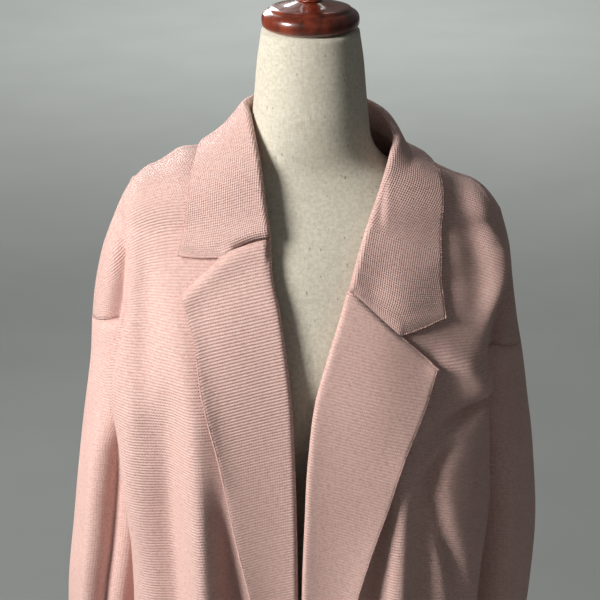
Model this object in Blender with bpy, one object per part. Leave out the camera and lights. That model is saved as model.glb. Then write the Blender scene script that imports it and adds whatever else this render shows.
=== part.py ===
# A notched-collar knitted cardigan blazer hanging open on a limbless dress form.
#
# Metres, +Z up, the floor at z = 0, the garment's front towards -Y. The garment is
# worked out as one skin of named sections; its pieces are cut from that skin along
# the seams and then given their wall. "left" and "right" are the viewer's.

import math

import bmesh
import bpy
import numpy as np
from mathutils import Vector
from mathutils.bvhtree import BVHTree

for thing in list(bpy.data.objects):
    bpy.data.objects.remove(thing, do_unlink=True)

# ---------------------------------------------------------------- driving sizes

CLOTH = 0.0024            # thickness of the knitted wall
SEAM_GAP = 0.0003         # clear gap between two pieces along a seam
SEAM_SHARE = 0.7          # of that gap, set back on either side of the seam
LEAST_SPREAD = 0.72       # limits how far a wall's corner is drawn out at a crease
ROLL_RADIUS = 0.0045      # half the height of the turn where a lapel folds back
REST_LIFT = 0.0048        # from the panel's middle to the middle of what lies on it

UNDERARM = 1.050          # height of both underarm points
CUFF = 0.735              # height of the cuffs
HEM = 0.530               # height of the hem
SHOULDER_LEVEL = 1.289    # first level section below the shoulder seams

FORM_X = 0.0115           # the form stands a little to the right of the opening

# Heights of the level sections, top to bottom. The two gorges (where collar and
# lapel meet on the roll line), the two sleeve heads and the underarm are levels.
LEVELS = (
    SHOULDER_LEVEL, 1.260, 1.231, 1.198, 1.165, 1.135, 1.107, 1.078, UNDERARM,
    1.036, 1.010, 0.970, 0.930, 0.890, 0.850, 0.810, 0.770, 0.730, 0.690, 0.650,
    0.610, 0.570, HEM,
)
CAP_ROWS = 4              # rows between a shoulder seam and the first level
OUTER_ROUNDNESS = 0.1     # the shoulder's outermost line runs almost straight there
SLEEVE_LEVELS = (0.970, 0.920, 0.870, 0.820, 0.775, CUFF)

# Segments between neighbouring control points of a section.
FRONT_SEGMENTS = (3, 2, 2, 2)     # opening - chest - flank - fold - armhole line
SIDE_SEGMENTS = 3                 # armhole line - side seam
ARM_SEGMENTS = 6                  # armhole line - outermost line of the arm
NECK_SEGMENTS = (2, 3)            # back neck centre - bend - shoulder seam
BACK_SEGMENTS = (6, 3, 3, 2)      # back centre - blade - flank - fold - armhole line
TURN_SEGMENTS = (3, 3)            # base of the turn - roll line - top layer
FALL_SEGMENTS = (3, 3)            # top layer - notch line - outer edge
SETTLE_PASSES = 8                 # times the collar is eased off the panels

# -------------------------------------------------------------- section tables
# Distances in x are measured outwards from the garment's middle (x = 0).

FRONT_COLUMNS = ("z", "openX", "openY", "chestX", "chestY",
                 "flankX", "flankY", "foldX", "foldY")
FRONT = {
    "left": (
        (1.289, 0.0325, -0.086, 0.085, -0.080, 0.135, -0.068, 0.166, -0.055),
        (1.250, 0.0310, -0.104, 0.090, -0.100, 0.145, -0.084, 0.184, -0.064),
        (1.210, 0.0225, -0.120, 0.090, -0.118, 0.150, -0.100, 0.1945, -0.073),
        (1.165, 0.0160, -0.133, 0.090, -0.134, 0.155, -0.115, 0.205, -0.081),
        (1.120, 0.0105, -0.143, 0.090, -0.146, 0.160, -0.126, 0.2146, -0.088),
        (1.050, 0.0068, -0.149, 0.090, -0.152, 0.160, -0.134, 0.205, -0.096),
        (0.970, 0.0045, -0.150, 0.090, -0.153, 0.155, -0.137, 0.1975, -0.100),
        (0.880, 0.0035, -0.148, 0.090, -0.152, 0.150, -0.137, 0.190, -0.100),
        (0.790, 0.0035, -0.145, 0.090, -0.150, 0.150, -0.135, 0.192, -0.096),
        (0.700, 0.0040, -0.142, 0.090, -0.148, 0.155, -0.130, 0.200, -0.085),
        (0.600, 0.0050, -0.140, 0.090, -0.146, 0.160, -0.124, 0.208, -0.072),
        (0.530, 0.0060, -0.140, 0.090, -0.145, 0.160, -0.120, 0.212, -0.066),
    ),
    "right": (
        (1.289, 0.0890, -0.081, 0.118, -0.076, 0.150, -0.066, 0.178, -0.056),
        (1.260, 0.0730, -0.094, 0.112, -0.091, 0.155, -0.078, 0.190, -0.062),
        (1.231, 0.0529, -0.107, 0.108, -0.104, 0.160, -0.090, 0.198, -0.069),
        (1.210, 0.0465, -0.116, 0.105, -0.114, 0.165, -0.098, 0.202, -0.074),
        (1.165, 0.0320, -0.131, 0.100, -0.131, 0.168, -0.113, 0.2085, -0.081),
        (1.120, 0.0190, -0.141, 0.095, -0.144, 0.170, -0.124, 0.211, -0.085),
        (1.050, 0.0100, -0.149, 0.095, -0.152, 0.170, -0.132, 0.213, -0.090),
        (0.970, 0.0060, -0.150, 0.095, -0.154, 0.168, -0.136, 0.215, -0.093),
        (0.880, 0.0030, -0.148, 0.095, -0.153, 0.165, -0.136, 0.207, -0.096),
        (0.790, 0.0030, -0.145, 0.095, -0.150, 0.160, -0.134, 0.202, -0.094),
        (0.700, 0.0035, -0.142, 0.095, -0.148, 0.160, -0.130, 0.204, -0.084),
        (0.600, 0.0045, -0.140, 0.095, -0.146, 0.165, -0.123, 0.210, -0.072),
        (0.530, 0.0055, -0.140, 0.095, -0.145, 0.165, -0.119, 0.214, -0.066),
    ),
}

BACK_COLUMNS = ("z", "middleY", "bladeX", "bladeY", "flankX", "flankY", "foldX", "foldY")
BACK = (
    (1.289, 0.086, 0.108, 0.076, 0.140, 0.067, 0.166, 0.056),
    (1.250, 0.098, 0.102, 0.092, 0.146, 0.081, 0.182, 0.064),
    (1.210, 0.106, 0.096, 0.102, 0.150, 0.091, 0.192, 0.071),
    (1.165, 0.111, 0.090, 0.109, 0.152, 0.098, 0.199, 0.077),
    (1.120, 0.113, 0.090, 0.113, 0.156, 0.102, 0.203, 0.082),
    (1.050, 0.112, 0.090, 0.115, 0.158, 0.105, 0.204, 0.086),
    (0.970, 0.110, 0.090, 0.116, 0.158, 0.107, 0.200, 0.088),
    (0.880, 0.112, 0.090, 0.119, 0.155, 0.110, 0.196, 0.089),
    (0.790, 0.118, 0.090, 0.125, 0.155, 0.114, 0.196, 0.087),
    (0.700, 0.124, 0.090, 0.131, 0.160, 0.117, 0.203, 0.082),
    (0.600, 0.130, 0.090, 0.137, 0.165, 0.118, 0.212, 0.074),
    (0.530, 0.134, 0.090, 0.140, 0.165, 0.119, 0.216, 0.068),
)
BACK_SIDE_SHIFT = {"left": 0.0, "right": 0.009}   # the right side hangs further out

# Below the underarm: the armhole line's course to the hem, and the side seam's.
SIDE_COLUMNS = ("z", "tuckX", "tuckY", "seamX")
SIDE = {
    "left": (
        (1.050, 0.170, 0.055, 0.155),
        (1.036, 0.168, 0.056, 0.147),
        (1.000, 0.164, 0.057, 0.145),
        (0.900, 0.168, 0.056, 0.152),
        (0.800, 0.176, 0.053, 0.166),
        (0.735, 0.186, 0.050, 0.178),
        (0.690, 0.196, 0.046, 0.192),
        (0.600, 0.218, 0.038, 0.220),
        (0.530, 0.223, 0.035, 0.227),
    ),
    "right": (
        (1.050, 0.184, 0.056, 0.168),
        (1.036, 0.181, 0.057, 0.160),
        (1.000, 0.178, 0.058, 0.158),
        (0.900, 0.176, 0.056, 0.162),
        (0.800, 0.178, 0.053, 0.171),
        (0.735, 0.184, 0.050, 0.178),
        (0.690, 0.194, 0.046, 0.190),
        (0.600, 0.217, 0.038, 0.219),
        (0.530, 0.222, 0.035, 0.226),
    ),
}
SIDE_SEAM_Y = 0.002

# The sleeve, and above the underarm the part of the panels that hangs over the arm.
ARM_COLUMNS = ("z", "outX", "inX", "frontY", "backY")
ARM = {
    "left": (
        (1.289, 0.2070, 0.158, 0.044, 0.046),
        (1.250, 0.2222, 0.155, 0.052, 0.054),
        (1.210, 0.2318, 0.150, 0.058, 0.060),
        (1.165, 0.2378, 0.147, 0.062, 0.064),
        (1.120, 0.2410, 0.148, 0.064, 0.066),
        (1.050, 0.2510, 0.155, 0.065, 0.066),
        (1.036, 0.2530, 0.161, 0.065, 0.066),
        (0.970, 0.2615, 0.166, 0.063, 0.062),
        (0.900, 0.2695, 0.173, 0.060, 0.057),
        (0.820, 0.2785, 0.186, 0.056, 0.052),
        (0.775, 0.2800, 0.192, 0.053, 0.048),
        (0.735, 0.2790, 0.195, 0.050, 0.045),
    ),
    "right": (
        (1.289, 0.2262, 0.170, 0.046, 0.046),
        (1.250, 0.2368, 0.166, 0.054, 0.055),
        (1.210, 0.2420, 0.162, 0.060, 0.061),
        (1.165, 0.2482, 0.160, 0.063, 0.064),
        (1.120, 0.2565, 0.161, 0.065, 0.066),
        (1.050, 0.2668, 0.168, 0.066, 0.066),
        (1.036, 0.2690, 0.174, 0.066, 0.066),
        (0.970, 0.2762, 0.177, 0.063, 0.062),
        (0.920, 0.2800, 0.177, 0.060, 0.058),
        (0.820, 0.2765, 0.183, 0.055, 0.052),
        (0.775, 0.2725, 0.185, 0.052, 0.048),
        (0.735, 0.2685, 0.187, 0.049, 0.045),
    ),
}
ARMHOLE_ANGLE = 118.0             # from the outermost line round to the armhole line
ARMHOLE_ANGLE_TOP = 98.0          # the same at the first level
SLEEVE_HEAD = {"left": 1.165, "right": 1.135}
SLEEVE_HEAD_RISE = 0.014          # the seam climbs this much towards front and back

# Shoulder seams, from the neck point to the last point before the arm's outer line.
SHOULDER_COLUMNS = ("x", "y", "z")
SHOULDER = {
    "left": (
        (0.075, 0.010, 1.371),
        (0.108, 0.006, 1.3605),
        (0.130, 0.002, 1.3590),
        (0.150, 0.000, 1.3475),
        (0.170, 0.000, 1.3375),
        (0.1875, 0.000, 1.3265),
    ),
    "right": (
        (0.109, 0.010, 1.3600),
        (0.128, 0.004, 1.3510),
        (0.152, 0.002, 1.3385),
        (0.180, 0.000, 1.3280),
        (0.194, 0.000, 1.3230),
        (0.2050, 0.000, 1.3165),
    ),
}
ARMHOLE_SHARE = 0.80              # share of the shoulder seam inside the armhole line
BACK_NECK = (0.012, 0.070, 1.380)
BACK_NECK_BEND = {"left": (-0.043, 0.054, 1.377), "right": (0.082, 0.046, 1.370)}
BACK_MIDDLE_X = 0.004

# The collar from the left gorge round the back neck to the right gorge: share of
# the neck seam's length, roll line, outer edge. Here x is the true coordinate.
COLLAR_COLUMNS = ("share", "rollX", "rollY", "rollZ", "edgeX", "edgeY", "edgeZ",
                  "swell")
COLLAR = (
    (0.00, -0.0325, -0.100, 1.289, -0.1345, -0.104, 1.2725, 0.003),
    (0.10, -0.0385, -0.080, 1.325, -0.1284, -0.088, 1.3050, 0.003),
    (0.17, -0.0440, -0.060, 1.362, -0.1215, -0.062, 1.3360, 0.002),
    (0.25, -0.0540, -0.022, 1.402, -0.1150, -0.026, 1.3590, 0.000),
    (0.33, -0.0570, 0.020, 1.409, -0.1050, 0.030, 1.3600, -0.004),
    (0.40, -0.0330, 0.058, 1.411, -0.0620, 0.088, 1.3450, -0.003),
    (0.46, 0.0120, 0.074, 1.411, 0.0120, 0.104, 1.3380, 0.000),
    (0.52, 0.0550, 0.062, 1.408, 0.0840, 0.088, 1.3400, -0.003),
    (0.58, 0.0880, 0.036, 1.397, 0.1240, 0.050, 1.3480, -0.007),
    (0.64, 0.1040, 0.002, 1.379, 0.1490, 0.002, 1.3460, -0.008),
    (0.72, 0.0990, -0.034, 1.361, 0.1560, -0.036, 1.3360, -0.003),
    (0.80, 0.0870, -0.066, 1.331, 0.1565, -0.066, 1.3060, 0.001),
    (0.88, 0.0720, -0.087, 1.292, 0.1570, -0.090, 1.2680, 0.003),
    (1.00, 0.0529, -0.118, 1.231, 0.1644, -0.114, 1.2021, 0.003),
)

# Gorge and notch: where the shared seam ends, and the lapel's point.
GORGE_COLUMNS = ("level", "midX", "midZ", "notchX", "notchZ", "tipX", "tipZ")
GORGE = {
    "left": (1.289, 0.0573, 1.2833, 0.0866, 1.2655, 0.1297, 1.2270),
    "right": (1.231, 0.0800, 1.2110, 0.1090, 1.1851, 0.1505, 1.1480),
}

NOTCH_SHARE = 0.5         # the notch line's place between roll line and edge
NOTCH_REACH = 0.06        # how far down the lapel the bend of the gorge is felt
GORGE_REACH = 0.05        # and along the collar

# The lapel's outer edge below its point.
LAPEL_COLUMNS = ("z", "edgeX")
LAPEL = {
    "left": (
        (1.227, 0.1297), (1.185, 0.1165), (1.129, 0.1077), (1.050, 0.0895),
        (0.950, 0.0710), (0.877, 0.0557), (0.750, 0.0360), (0.620, 0.0220),
        (0.530, 0.0200),
    ),
    "right": (
        (1.148, 0.1505), (1.115, 0.1405), (1.045, 0.1133), (0.998, 0.0992),
        (0.943, 0.0816), (0.877, 0.0636), (0.750, 0.0390), (0.620, 0.0220),
        (0.530, 0.0200),
    ),
}

# Largest soft folds of the panels: a ridge (+) or trough (-) along a line from
# (topX, topZ) to (lowX, lowZ), true x, with its half width and height.
FOLD_COLUMNS = ("topX", "topZ", "lowX", "lowZ", "width", "height")
FRONT_FOLDS = (
    (-0.158, 1.240, -0.128, 0.560, 0.020, 0.010),
    (-0.108, 1.080, -0.092, 0.530, 0.020, -0.011),
    (-0.182, 1.140, -0.166, 0.560, 0.012, -0.009),
    (0.118, 1.080, 0.108, 0.530, 0.022, 0.010),
    (0.162, 1.160, 0.150, 0.560, 0.016, -0.012),
    (0.190, 1.136, 0.140, 1.165, 0.013, 0.006),
)
BACK_FOLDS = (
    (-0.156, 1.200, -0.172, 0.530, 0.020, 0.010),
    (-0.108, 1.120, -0.118, 0.530, 0.022, -0.013),
    (-0.046, 1.060, -0.060, 0.530, 0.026, 0.014),
    (0.024, 1.020, 0.026, 0.530, 0.024, -0.010),
    (0.094, 1.100, 0.102, 0.530, 0.024, 0.014),
    (0.150, 1.160, 0.160, 0.530, 0.018, -0.010),
)

FOLD_FADE = 0.15          # share of a row over which folds fade at a held end

# The form: height, half width, depth in front of and behind its axis.
FORM_COLUMNS = ("z", "half", "front", "back")
FORM = (
    (1.4955, 0.0540, 0.0530, 0.0530),
    (1.4610, 0.0590, 0.0570, 0.0570),
    (1.4300, 0.0617, 0.0590, 0.0600),
    (1.4060, 0.0640, 0.0610, 0.0625),
    (1.3920, 0.0656, 0.0600, 0.0620),
    (1.3740, 0.0682, 0.0590, 0.0610),
    (1.3600, 0.0750, 0.0570, 0.0600),
    (1.3470, 0.0880, 0.0560, 0.0600),
    (1.3320, 0.1140, 0.0570, 0.0620),
    (1.3150, 0.1400, 0.0620, 0.0670),
    (1.2980, 0.1590, 0.0690, 0.0730),
    (1.2780, 0.1670, 0.0790, 0.0810),
    (1.2500, 0.1680, 0.0910, 0.0890),
    (1.2100, 0.1640, 0.1040, 0.0960),
    (1.1650, 0.1590, 0.1160, 0.1000),
    (1.1200, 0.1540, 0.1235, 0.1000),
    (1.0800, 0.1490, 0.1240, 0.0970),
    (1.0300, 0.1390, 0.1140, 0.0930),
    (0.9700, 0.1250, 0.0980, 0.0870),
    (0.9300, 0.1210, 0.0930, 0.0870),
    (0.8800, 0.1290, 0.0960, 0.0950),
    (0.8300, 0.1430, 0.1020, 0.1030),
    (0.7700, 0.1530, 0.1050, 0.1090),
    (0.7300, 0.1530, 0.1020, 0.1080),
)
FORM_SQUARENESS = 2.1    # exponent of the form's level outlines
FORM_AROUND = 32

# Turned wood, as radius and height from the outer top edge down its outside.
NECK_CAP = (
    (0.0145, 1.5275), (0.0300, 1.5235), (0.0440, 1.5205), (0.0462, 1.5180),
    (0.0500, 1.5160), (0.0530, 1.5125), (0.0540, 1.5070), (0.0530, 1.5015),
    (0.0505, 1.4985), (0.0470, 1.4970),
)
CAP_KNOB = (
    (0.0050, 1.5750), (0.0120, 1.5735), (0.0170, 1.5670), (0.0190, 1.5590),
    (0.0175, 1.5510), (0.0120, 1.5440), (0.0085, 1.5380), (0.0100, 1.5320),
    (0.0135, 1.5285),
)
STAND_POLE = (
    (0.0170, 0.7285), (0.0260, 0.7200), (0.0280, 0.7080), (0.0200, 0.6960),
    (0.0165, 0.6700), (0.0165, 0.1500), (0.0200, 0.1200), (0.0290, 0.1020),
    (0.0310, 0.0860), (0.0270, 0.0700), (0.0225, 0.0560), (0.0300, 0.0400),
)
STAND_BASE = (
    (0.0400, 0.0380), (0.0700, 0.0370), (0.1200, 0.0320), (0.1650, 0.0270),
    (0.1820, 0.0255), (0.1900, 0.0210), (0.1930, 0.0140), (0.1910, 0.0060),
    (0.1870, 0.0000),
)
WOOD_AROUND = 40

# ---------------------------------------------------------------- small helpers


def between(columns, rows, at):
    """A table's columns at one value of its first column, on a smooth curve."""
    table = np.array(rows, float)
    keys = table[:, 0]
    if keys[0] > keys[-1]:
        table = table[::-1]
        keys = table[:, 0]
    slopes = np.gradient(table, keys, axis=0)
    i = int(np.clip(np.searchsorted(keys, at) - 1, 0, len(keys) - 2))
    step = keys[i + 1] - keys[i]
    t = min(max((at - keys[i]) / step, 0.0), 1.0)
    h00 = 2 * t ** 3 - 3 * t ** 2 + 1
    h10 = t ** 3 - 2 * t ** 2 + t
    row = (h00 * table[i] + h10 * step * slopes[i]
           + (1 - h00) * table[i + 1] + (t ** 3 - t ** 2) * step * slopes[i + 1])
    return dict(zip(columns, row))


def hermite(start, end, leave, arrive, count):
    """Points of one cubic after its start."""
    found = []
    for k in range(1, count + 1):
        t = k / count
        h00 = 2 * t ** 3 - 3 * t ** 2 + 1
        h10 = t ** 3 - 2 * t ** 2 + t
        found.append(h00 * start + h10 * leave
                     + (1 - h00) * end + (t ** 3 - t ** 2) * arrive)
    return found


def through(points, segments, before=None, after=None):
    """A smooth curve through points, with a number of segments for each interval."""
    points = [np.array(p, float) for p in points]
    first = 2 * points[0] - points[1] if before is None else np.array(before, float)
    last = 2 * points[-1] - points[-2] if after is None else np.array(after, float)
    line = [first] + points + [last]
    steps = [max(np.linalg.norm(b - a), 1e-9) ** 0.5 for a, b in zip(line, line[1:])]
    found = [points[0]]
    for i, count in enumerate(segments):
        p0, p1, p2, p3 = line[i:i + 4]
        d0, d1, d2 = steps[i:i + 3]
        leave = d1 * ((p1 - p0) / d0 - (p2 - p0) / (d0 + d1) + (p2 - p1) / d1)
        arrive = d1 * ((p2 - p1) / d1 - (p3 - p1) / (d1 + d2) + (p3 - p2) / d2)
        found += hermite(p1, p2, leave, arrive, count)
    return found


def unit(vector):
    return vector / max(np.linalg.norm(vector), 1e-12)


def lengths(points):
    """Each point's share of the way along a line of points."""
    gaps = [np.linalg.norm(b - a) for a, b in zip(points, points[1:])]
    way = np.concatenate([[0.0], np.cumsum(gaps)])
    return way / way[-1]


def atShares(points, shares):
    """Points at given shares of the way along a line of points."""
    points = np.array(points, float)
    way = lengths(list(points))
    return [np.array([np.interp(s, way, points[:, k]) for k in range(3)]) for s in shares]


# ---------------------------------------------------------- the garment's skin

SIGN = {"left": -1.0, "right": 1.0}
LAST_LEVEL = len(LEVELS) - 1
UNDERARM_ROW = LEVELS.index(UNDERARM)
BODY_COLUMNS = sum(FRONT_SEGMENTS)


def foldHeight(folds, x, z):
    """How far the soft folds push the cloth outwards at one place."""
    height = 0.0
    for row in folds:
        fold = dict(zip(FOLD_COLUMNS, row))
        along = (fold["topZ"] - z) / (fold["topZ"] - fold["lowZ"])
        if along <= 0.0:
            continue
        middle = fold["topX"] + (fold["lowX"] - fold["topX"]) * min(along, 1.0)
        grown = min(along / 0.35, 1.0)
        grown = grown * grown * (3 - 2 * grown)
        height += fold["height"] * grown * math.exp(-((x - middle) / fold["width"]) ** 2)
    return height


def armPoint(side, z, angle):
    """On the arm's outline: 0 degrees is outermost, + is towards the front."""
    row = between(ARM_COLUMNS, ARM[side], z)
    middle = (row["outX"] + row["inX"]) / 2
    reach = (row["outX"] - row["inX"]) / 2
    turn = math.radians(angle)
    depth = row["frontY"] if angle > 0 else row["backY"]
    head = SLEEVE_HEAD[side]
    rise = SLEEVE_HEAD_RISE * math.exp(-((z - head) / 0.030) ** 2) * math.sin(turn) ** 2
    return np.array((SIGN[side] * (middle + reach * math.cos(turn)),
                     -depth * math.sin(turn), z + rise))


def armholeAngle(z):
    top = (z - UNDERARM) / (SHOULDER_LEVEL - UNDERARM)
    top = min(max(top, 0.0), 1.0)
    return ARMHOLE_ANGLE + (ARMHOLE_ANGLE_TOP - ARMHOLE_ANGLE) * top ** 2


def tuckPoint(side, z, face):
    """Where the panel meets the arm, or below the underarm runs behind the sleeve."""
    if z >= UNDERARM:
        return armPoint(side, z, face * armholeAngle(z))
    row = between(SIDE_COLUMNS, SIDE[side], z)
    start = armPoint(side, UNDERARM, face * ARMHOLE_ANGLE)
    wanted = np.array((SIGN[side] * row["tuckX"], -face * row["tuckY"], z))
    fresh = math.exp(-(UNDERARM - z) / 0.020)
    start[2] = z
    return wanted + (start - wanted) * fresh


def sidePoints(side, z, foldFront, foldBack):
    """From the front armhole line round the hidden side to the back one."""
    if z >= UNDERARM:
        angles = np.linspace(ARMHOLE_ANGLE, 360 - ARMHOLE_ANGLE, 2 * SIDE_SEGMENTS + 1)
        return [armPoint(side, z, a if a <= 180 else a - 360) for a in angles]
    row = between(SIDE_COLUMNS, SIDE[side], z)
    seam = (SIGN[side] * row["seamX"], SIDE_SEAM_Y, z)
    front = tuckPoint(side, z, 1)
    back = tuckPoint(side, z, -1)
    return through([front, seam, back], (SIDE_SEGMENTS, SIDE_SEGMENTS),
                   foldFront, foldBack)


def frontControls(side, z):
    row = between(FRONT_COLUMNS, FRONT[side], z)
    sign = SIGN[side]
    opening = (sign * (row["openX"] + ROLL_RADIUS), row["openY"], z)
    return [opening] + [(sign * row[name + "X"], row[name + "Y"], z)
                        for name in ("chest", "flank", "fold")]


def backControls(side, z):
    row = between(BACK_COLUMNS, BACK, z)
    sign = SIGN[side]
    shift = BACK_SIDE_SHIFT[side]
    middle = (BACK_MIDDLE_X, row["middleY"], z)
    return [middle] + [(sign * (row[name + "X"] + shift), row[name + "Y"], z)
                       for name in ("blade", "flank", "fold")]


def folded(points, folds, outward, heldStart):
    """A level row with its soft folds, which fade out towards its held ends."""
    moved = []
    for point, share in zip(points, lengths(points)):
        fade = min((1.0 - share) / FOLD_FADE, 1.0)
        if heldStart:
            fade = min(fade, share / FOLD_FADE)
        push = foldHeight(folds, point[0], point[2]) * fade
        moved.append(point + np.array((0.0, outward * push, 0.0)))
    return moved


def frontRow(side, z):
    points = through(frontControls(side, z) + [tuckPoint(side, z, 1)], FRONT_SEGMENTS)
    return folded(points, FRONT_FOLDS, -1.0, True)


def backRow(side, z):
    points = through(backControls(side, z) + [tuckPoint(side, z, -1)], BACK_SEGMENTS)
    return folded(points, BACK_FOLDS, 1.0, False)


def capRows(ridge, level, roundness):
    """Rows over the shoulder, from its seam down to the first level row."""
    rows = [list(ridge)]
    for k in range(1, CAP_ROWS):
        straight = k / CAP_ROWS
        turn = math.radians(90 * straight)
        row = []
        for top, low, full in zip(ridge, level, roundness):
            across = straight + (math.sin(turn) - straight) * full
            down = straight + (1 - math.cos(turn) - straight) * full
            flat = top[:2] + (low[:2] - top[:2]) * across
            row.append(np.array((flat[0], flat[1], top[2] + (low[2] - top[2]) * down)))
        rows.append(row)
    return rows


def shoulderSeam(side, level):
    """The seam's points: over the body's columns, then over the arm's."""
    sign = SIGN[side]
    seam = through([(sign * x, y, z) for x, y, z in SHOULDER[side]],
                   (6,) * (len(SHOULDER[side]) - 1))
    body = atShares(seam, lengths(level) * ARMHOLE_SHARE)
    arm = atShares(seam, np.linspace(ARMHOLE_SHARE, 1.0, ARM_SEGMENTS + 1))
    arm[0] = body[-1]
    return body, arm


def armRow(side, z, face):
    """From the armhole line to the outermost line."""
    angles = np.linspace(armholeAngle(z), 0.0, ARM_SEGMENTS + 1)
    return [armPoint(side, z, face * a) for a in angles]


def bodyBlocks(side):
    """Grids of the front and back panel on one side, and the seam at the neck."""
    fronts = [frontRow(side, z) for z in LEVELS]
    backs = [backRow(side, z) for z in LEVELS]
    ridge, armRidge = shoulderSeam(side, fronts[0])
    neck = through([BACK_NECK, BACK_NECK_BEND[side], ridge[0]], NECK_SEGMENTS,
                   before=np.array(BACK_NECK) - (SIGN[side] * 0.05, 0.004, 0.0),
                   after=ridge[0] + (0.0, -0.05, -0.01))
    backTop = neck[:-1] + ridge
    headRow = LEVELS.index(SLEEVE_HEAD[side])
    grids = []
    for face, rows, top, piece in ((1, fronts, ridge, "front_" + side),
                                   (-1, backs, backTop, "back")):
        arms = [armRow(side, z, face) for z in LEVELS[:headRow + 1]]
        for row, arm in zip(rows, arms):
            row[-1] = arm[0]
        full = np.ones(len(top))
        outwards = np.linspace(1.0, OUTER_ROUNDNESS, ARM_SEGMENTS + 1)
        grids.append((piece, capRows(top, rows[0], full) + rows))
        grids.append((piece, capRows(armRidge, arms[0], outwards) + arms))
    halves = ([], [])
    for i in range(UNDERARM_ROW, LAST_LEVEL + 1):
        z = LEVELS[i]
        row = sidePoints(side, z, frontControls(side, z)[-1], backControls(side, z)[-1])
        row[0] = fronts[i][-1]
        row[-1] = backs[i][-1]
        halves[0].append(row[:SIDE_SEGMENTS + 1])
        halves[1].append(row[SIDE_SEGMENTS:])
    grids.append(("front_" + side, halves[0]))
    grids.append(("back", halves[1]))
    return grids, neck, halves


def sleeveBlocks(side, fronts, backs, halves):
    """The sleeve: open arcs beside the armhole, closed loops below the underarm."""
    headRow = LEVELS.index(SLEEVE_HEAD[side])
    piece = "sleeve_" + side
    arcs = []
    for i in range(headRow, UNDERARM_ROW + 1):
        front = armRow(side, LEVELS[i], 1)
        back = armRow(side, LEVELS[i], -1)
        front[0] = fronts[i + CAP_ROWS][-1]
        back[0] = backs[i + CAP_ROWS][-1]
        arcs.append(front[:-1] + back[::-1])
    inner = halves[0][0] + halves[1][0][1:]
    loops = [arcs[-1] + inner[::-1][1:]]
    for z in SLEEVE_LEVELS:
        outer = armRow(side, z, 1)[:-1] + armRow(side, z, -1)[::-1]
        angles = np.linspace(ARMHOLE_ANGLE, 360 - ARMHOLE_ANGLE, 2 * SIDE_SEGMENTS + 1)
        hidden = [armPoint(side, z, a if a <= 180 else a - 360) for a in angles]
        hidden[0] = outer[0]
        hidden[-1] = outer[-1]
        loops.append(outer + hidden[::-1][1:])
    return [(piece, arcs), (piece, loops)]


# -------------------------------------------------- lapels and collar on the skin


class Rest:
    """The panels' middle surface, on which the lapels and the collar lie."""

    def __init__(self, grids):
        points, faces = [], []
        for _, rows in grids:
            start = len(points)
            wide = len(rows[0])
            points += [Vector(p) for row in rows for p in row]
            for i in range(len(rows) - 1):
                for j in range(wide - 1):
                    a = start + i * wide + j
                    faces.append((a, a + 1, a + 1 + wide, a + wide))
        self.tree = BVHTree.FromPolygons(points, faces)

    def inFront(self, x, z, lift):
        """The point a given lift in front of the panels at x, z."""
        hit, normal, _, _ = self.tree.ray_cast(Vector((x, -1.0, z)), Vector((0, 1, 0)))
        return np.array((x, hit.y - lift / max(abs(normal.y), 0.6), z))

    def above(self, point):
        """How far a point is outside the panels, and the way out there."""
        near, normal, _, _ = self.tree.find_nearest(Vector(point))
        near = np.array(near)
        normal = np.array(normal)
        middle = np.array((FORM_X, 0.0, near[2] - 0.06))
        if np.dot(normal, near - middle) < 0:
            normal = -normal
        way = np.array(point) - near
        if np.dot(way, normal) < 0:
            return -np.linalg.norm(way), normal
        return np.linalg.norm(way), normal

    def clear(self, point, lift, settle=False):
        """The point, moved out until it is that far from the panels."""
        height, normal = self.above(point)
        if height < lift or settle:
            return np.array(point) + normal * (lift - height)
        return np.array(point)


def settled(rows, rest, first):
    """A collar's rows, eased out from the first free column until all cells clear."""
    grid = np.array(rows)
    last = len(rows) - 1
    for _ in range(SETTLE_PASSES):
        pushed = np.zeros_like(grid)
        for i in range(last):
            for j in range(first, grid.shape[1] - 1):
                corners = [(i, j), (i, j + 1), (i + 1, j), (i + 1, j + 1)]
                middle = sum(grid[c] for c in corners) / 4
                for place in [middle] + [(grid[c] + middle) / 2 for c in corners]:
                    height, normal = rest.above(place)
                    if height >= REST_LIFT:
                        continue
                    for c in corners:
                        if np.linalg.norm(pushed[c]) < REST_LIFT - height:
                            pushed[c] = normal * (REST_LIFT - height)
        pushed[0] = pushed[last] = 0.0
        grid += pushed * 0.7
    return [list(row) for row in grid]


def turned(base, roll, out, over):
    """The turn from its base over the roll line; out leads to the roll line."""
    tight = 1.6 * ROLL_RADIUS
    inner = roll - out * ROLL_RADIUS - over * ROLL_RADIUS
    top = roll - out * ROLL_RADIUS + over * ROLL_RADIUS
    points = [base]
    points += hermite(base, roll, (inner - base) + out * tight, over * tight,
                      TURN_SEGMENTS[0])
    points += hermite(roll, top, over * tight, -out * tight, TURN_SEGMENTS[1])
    return points


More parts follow.
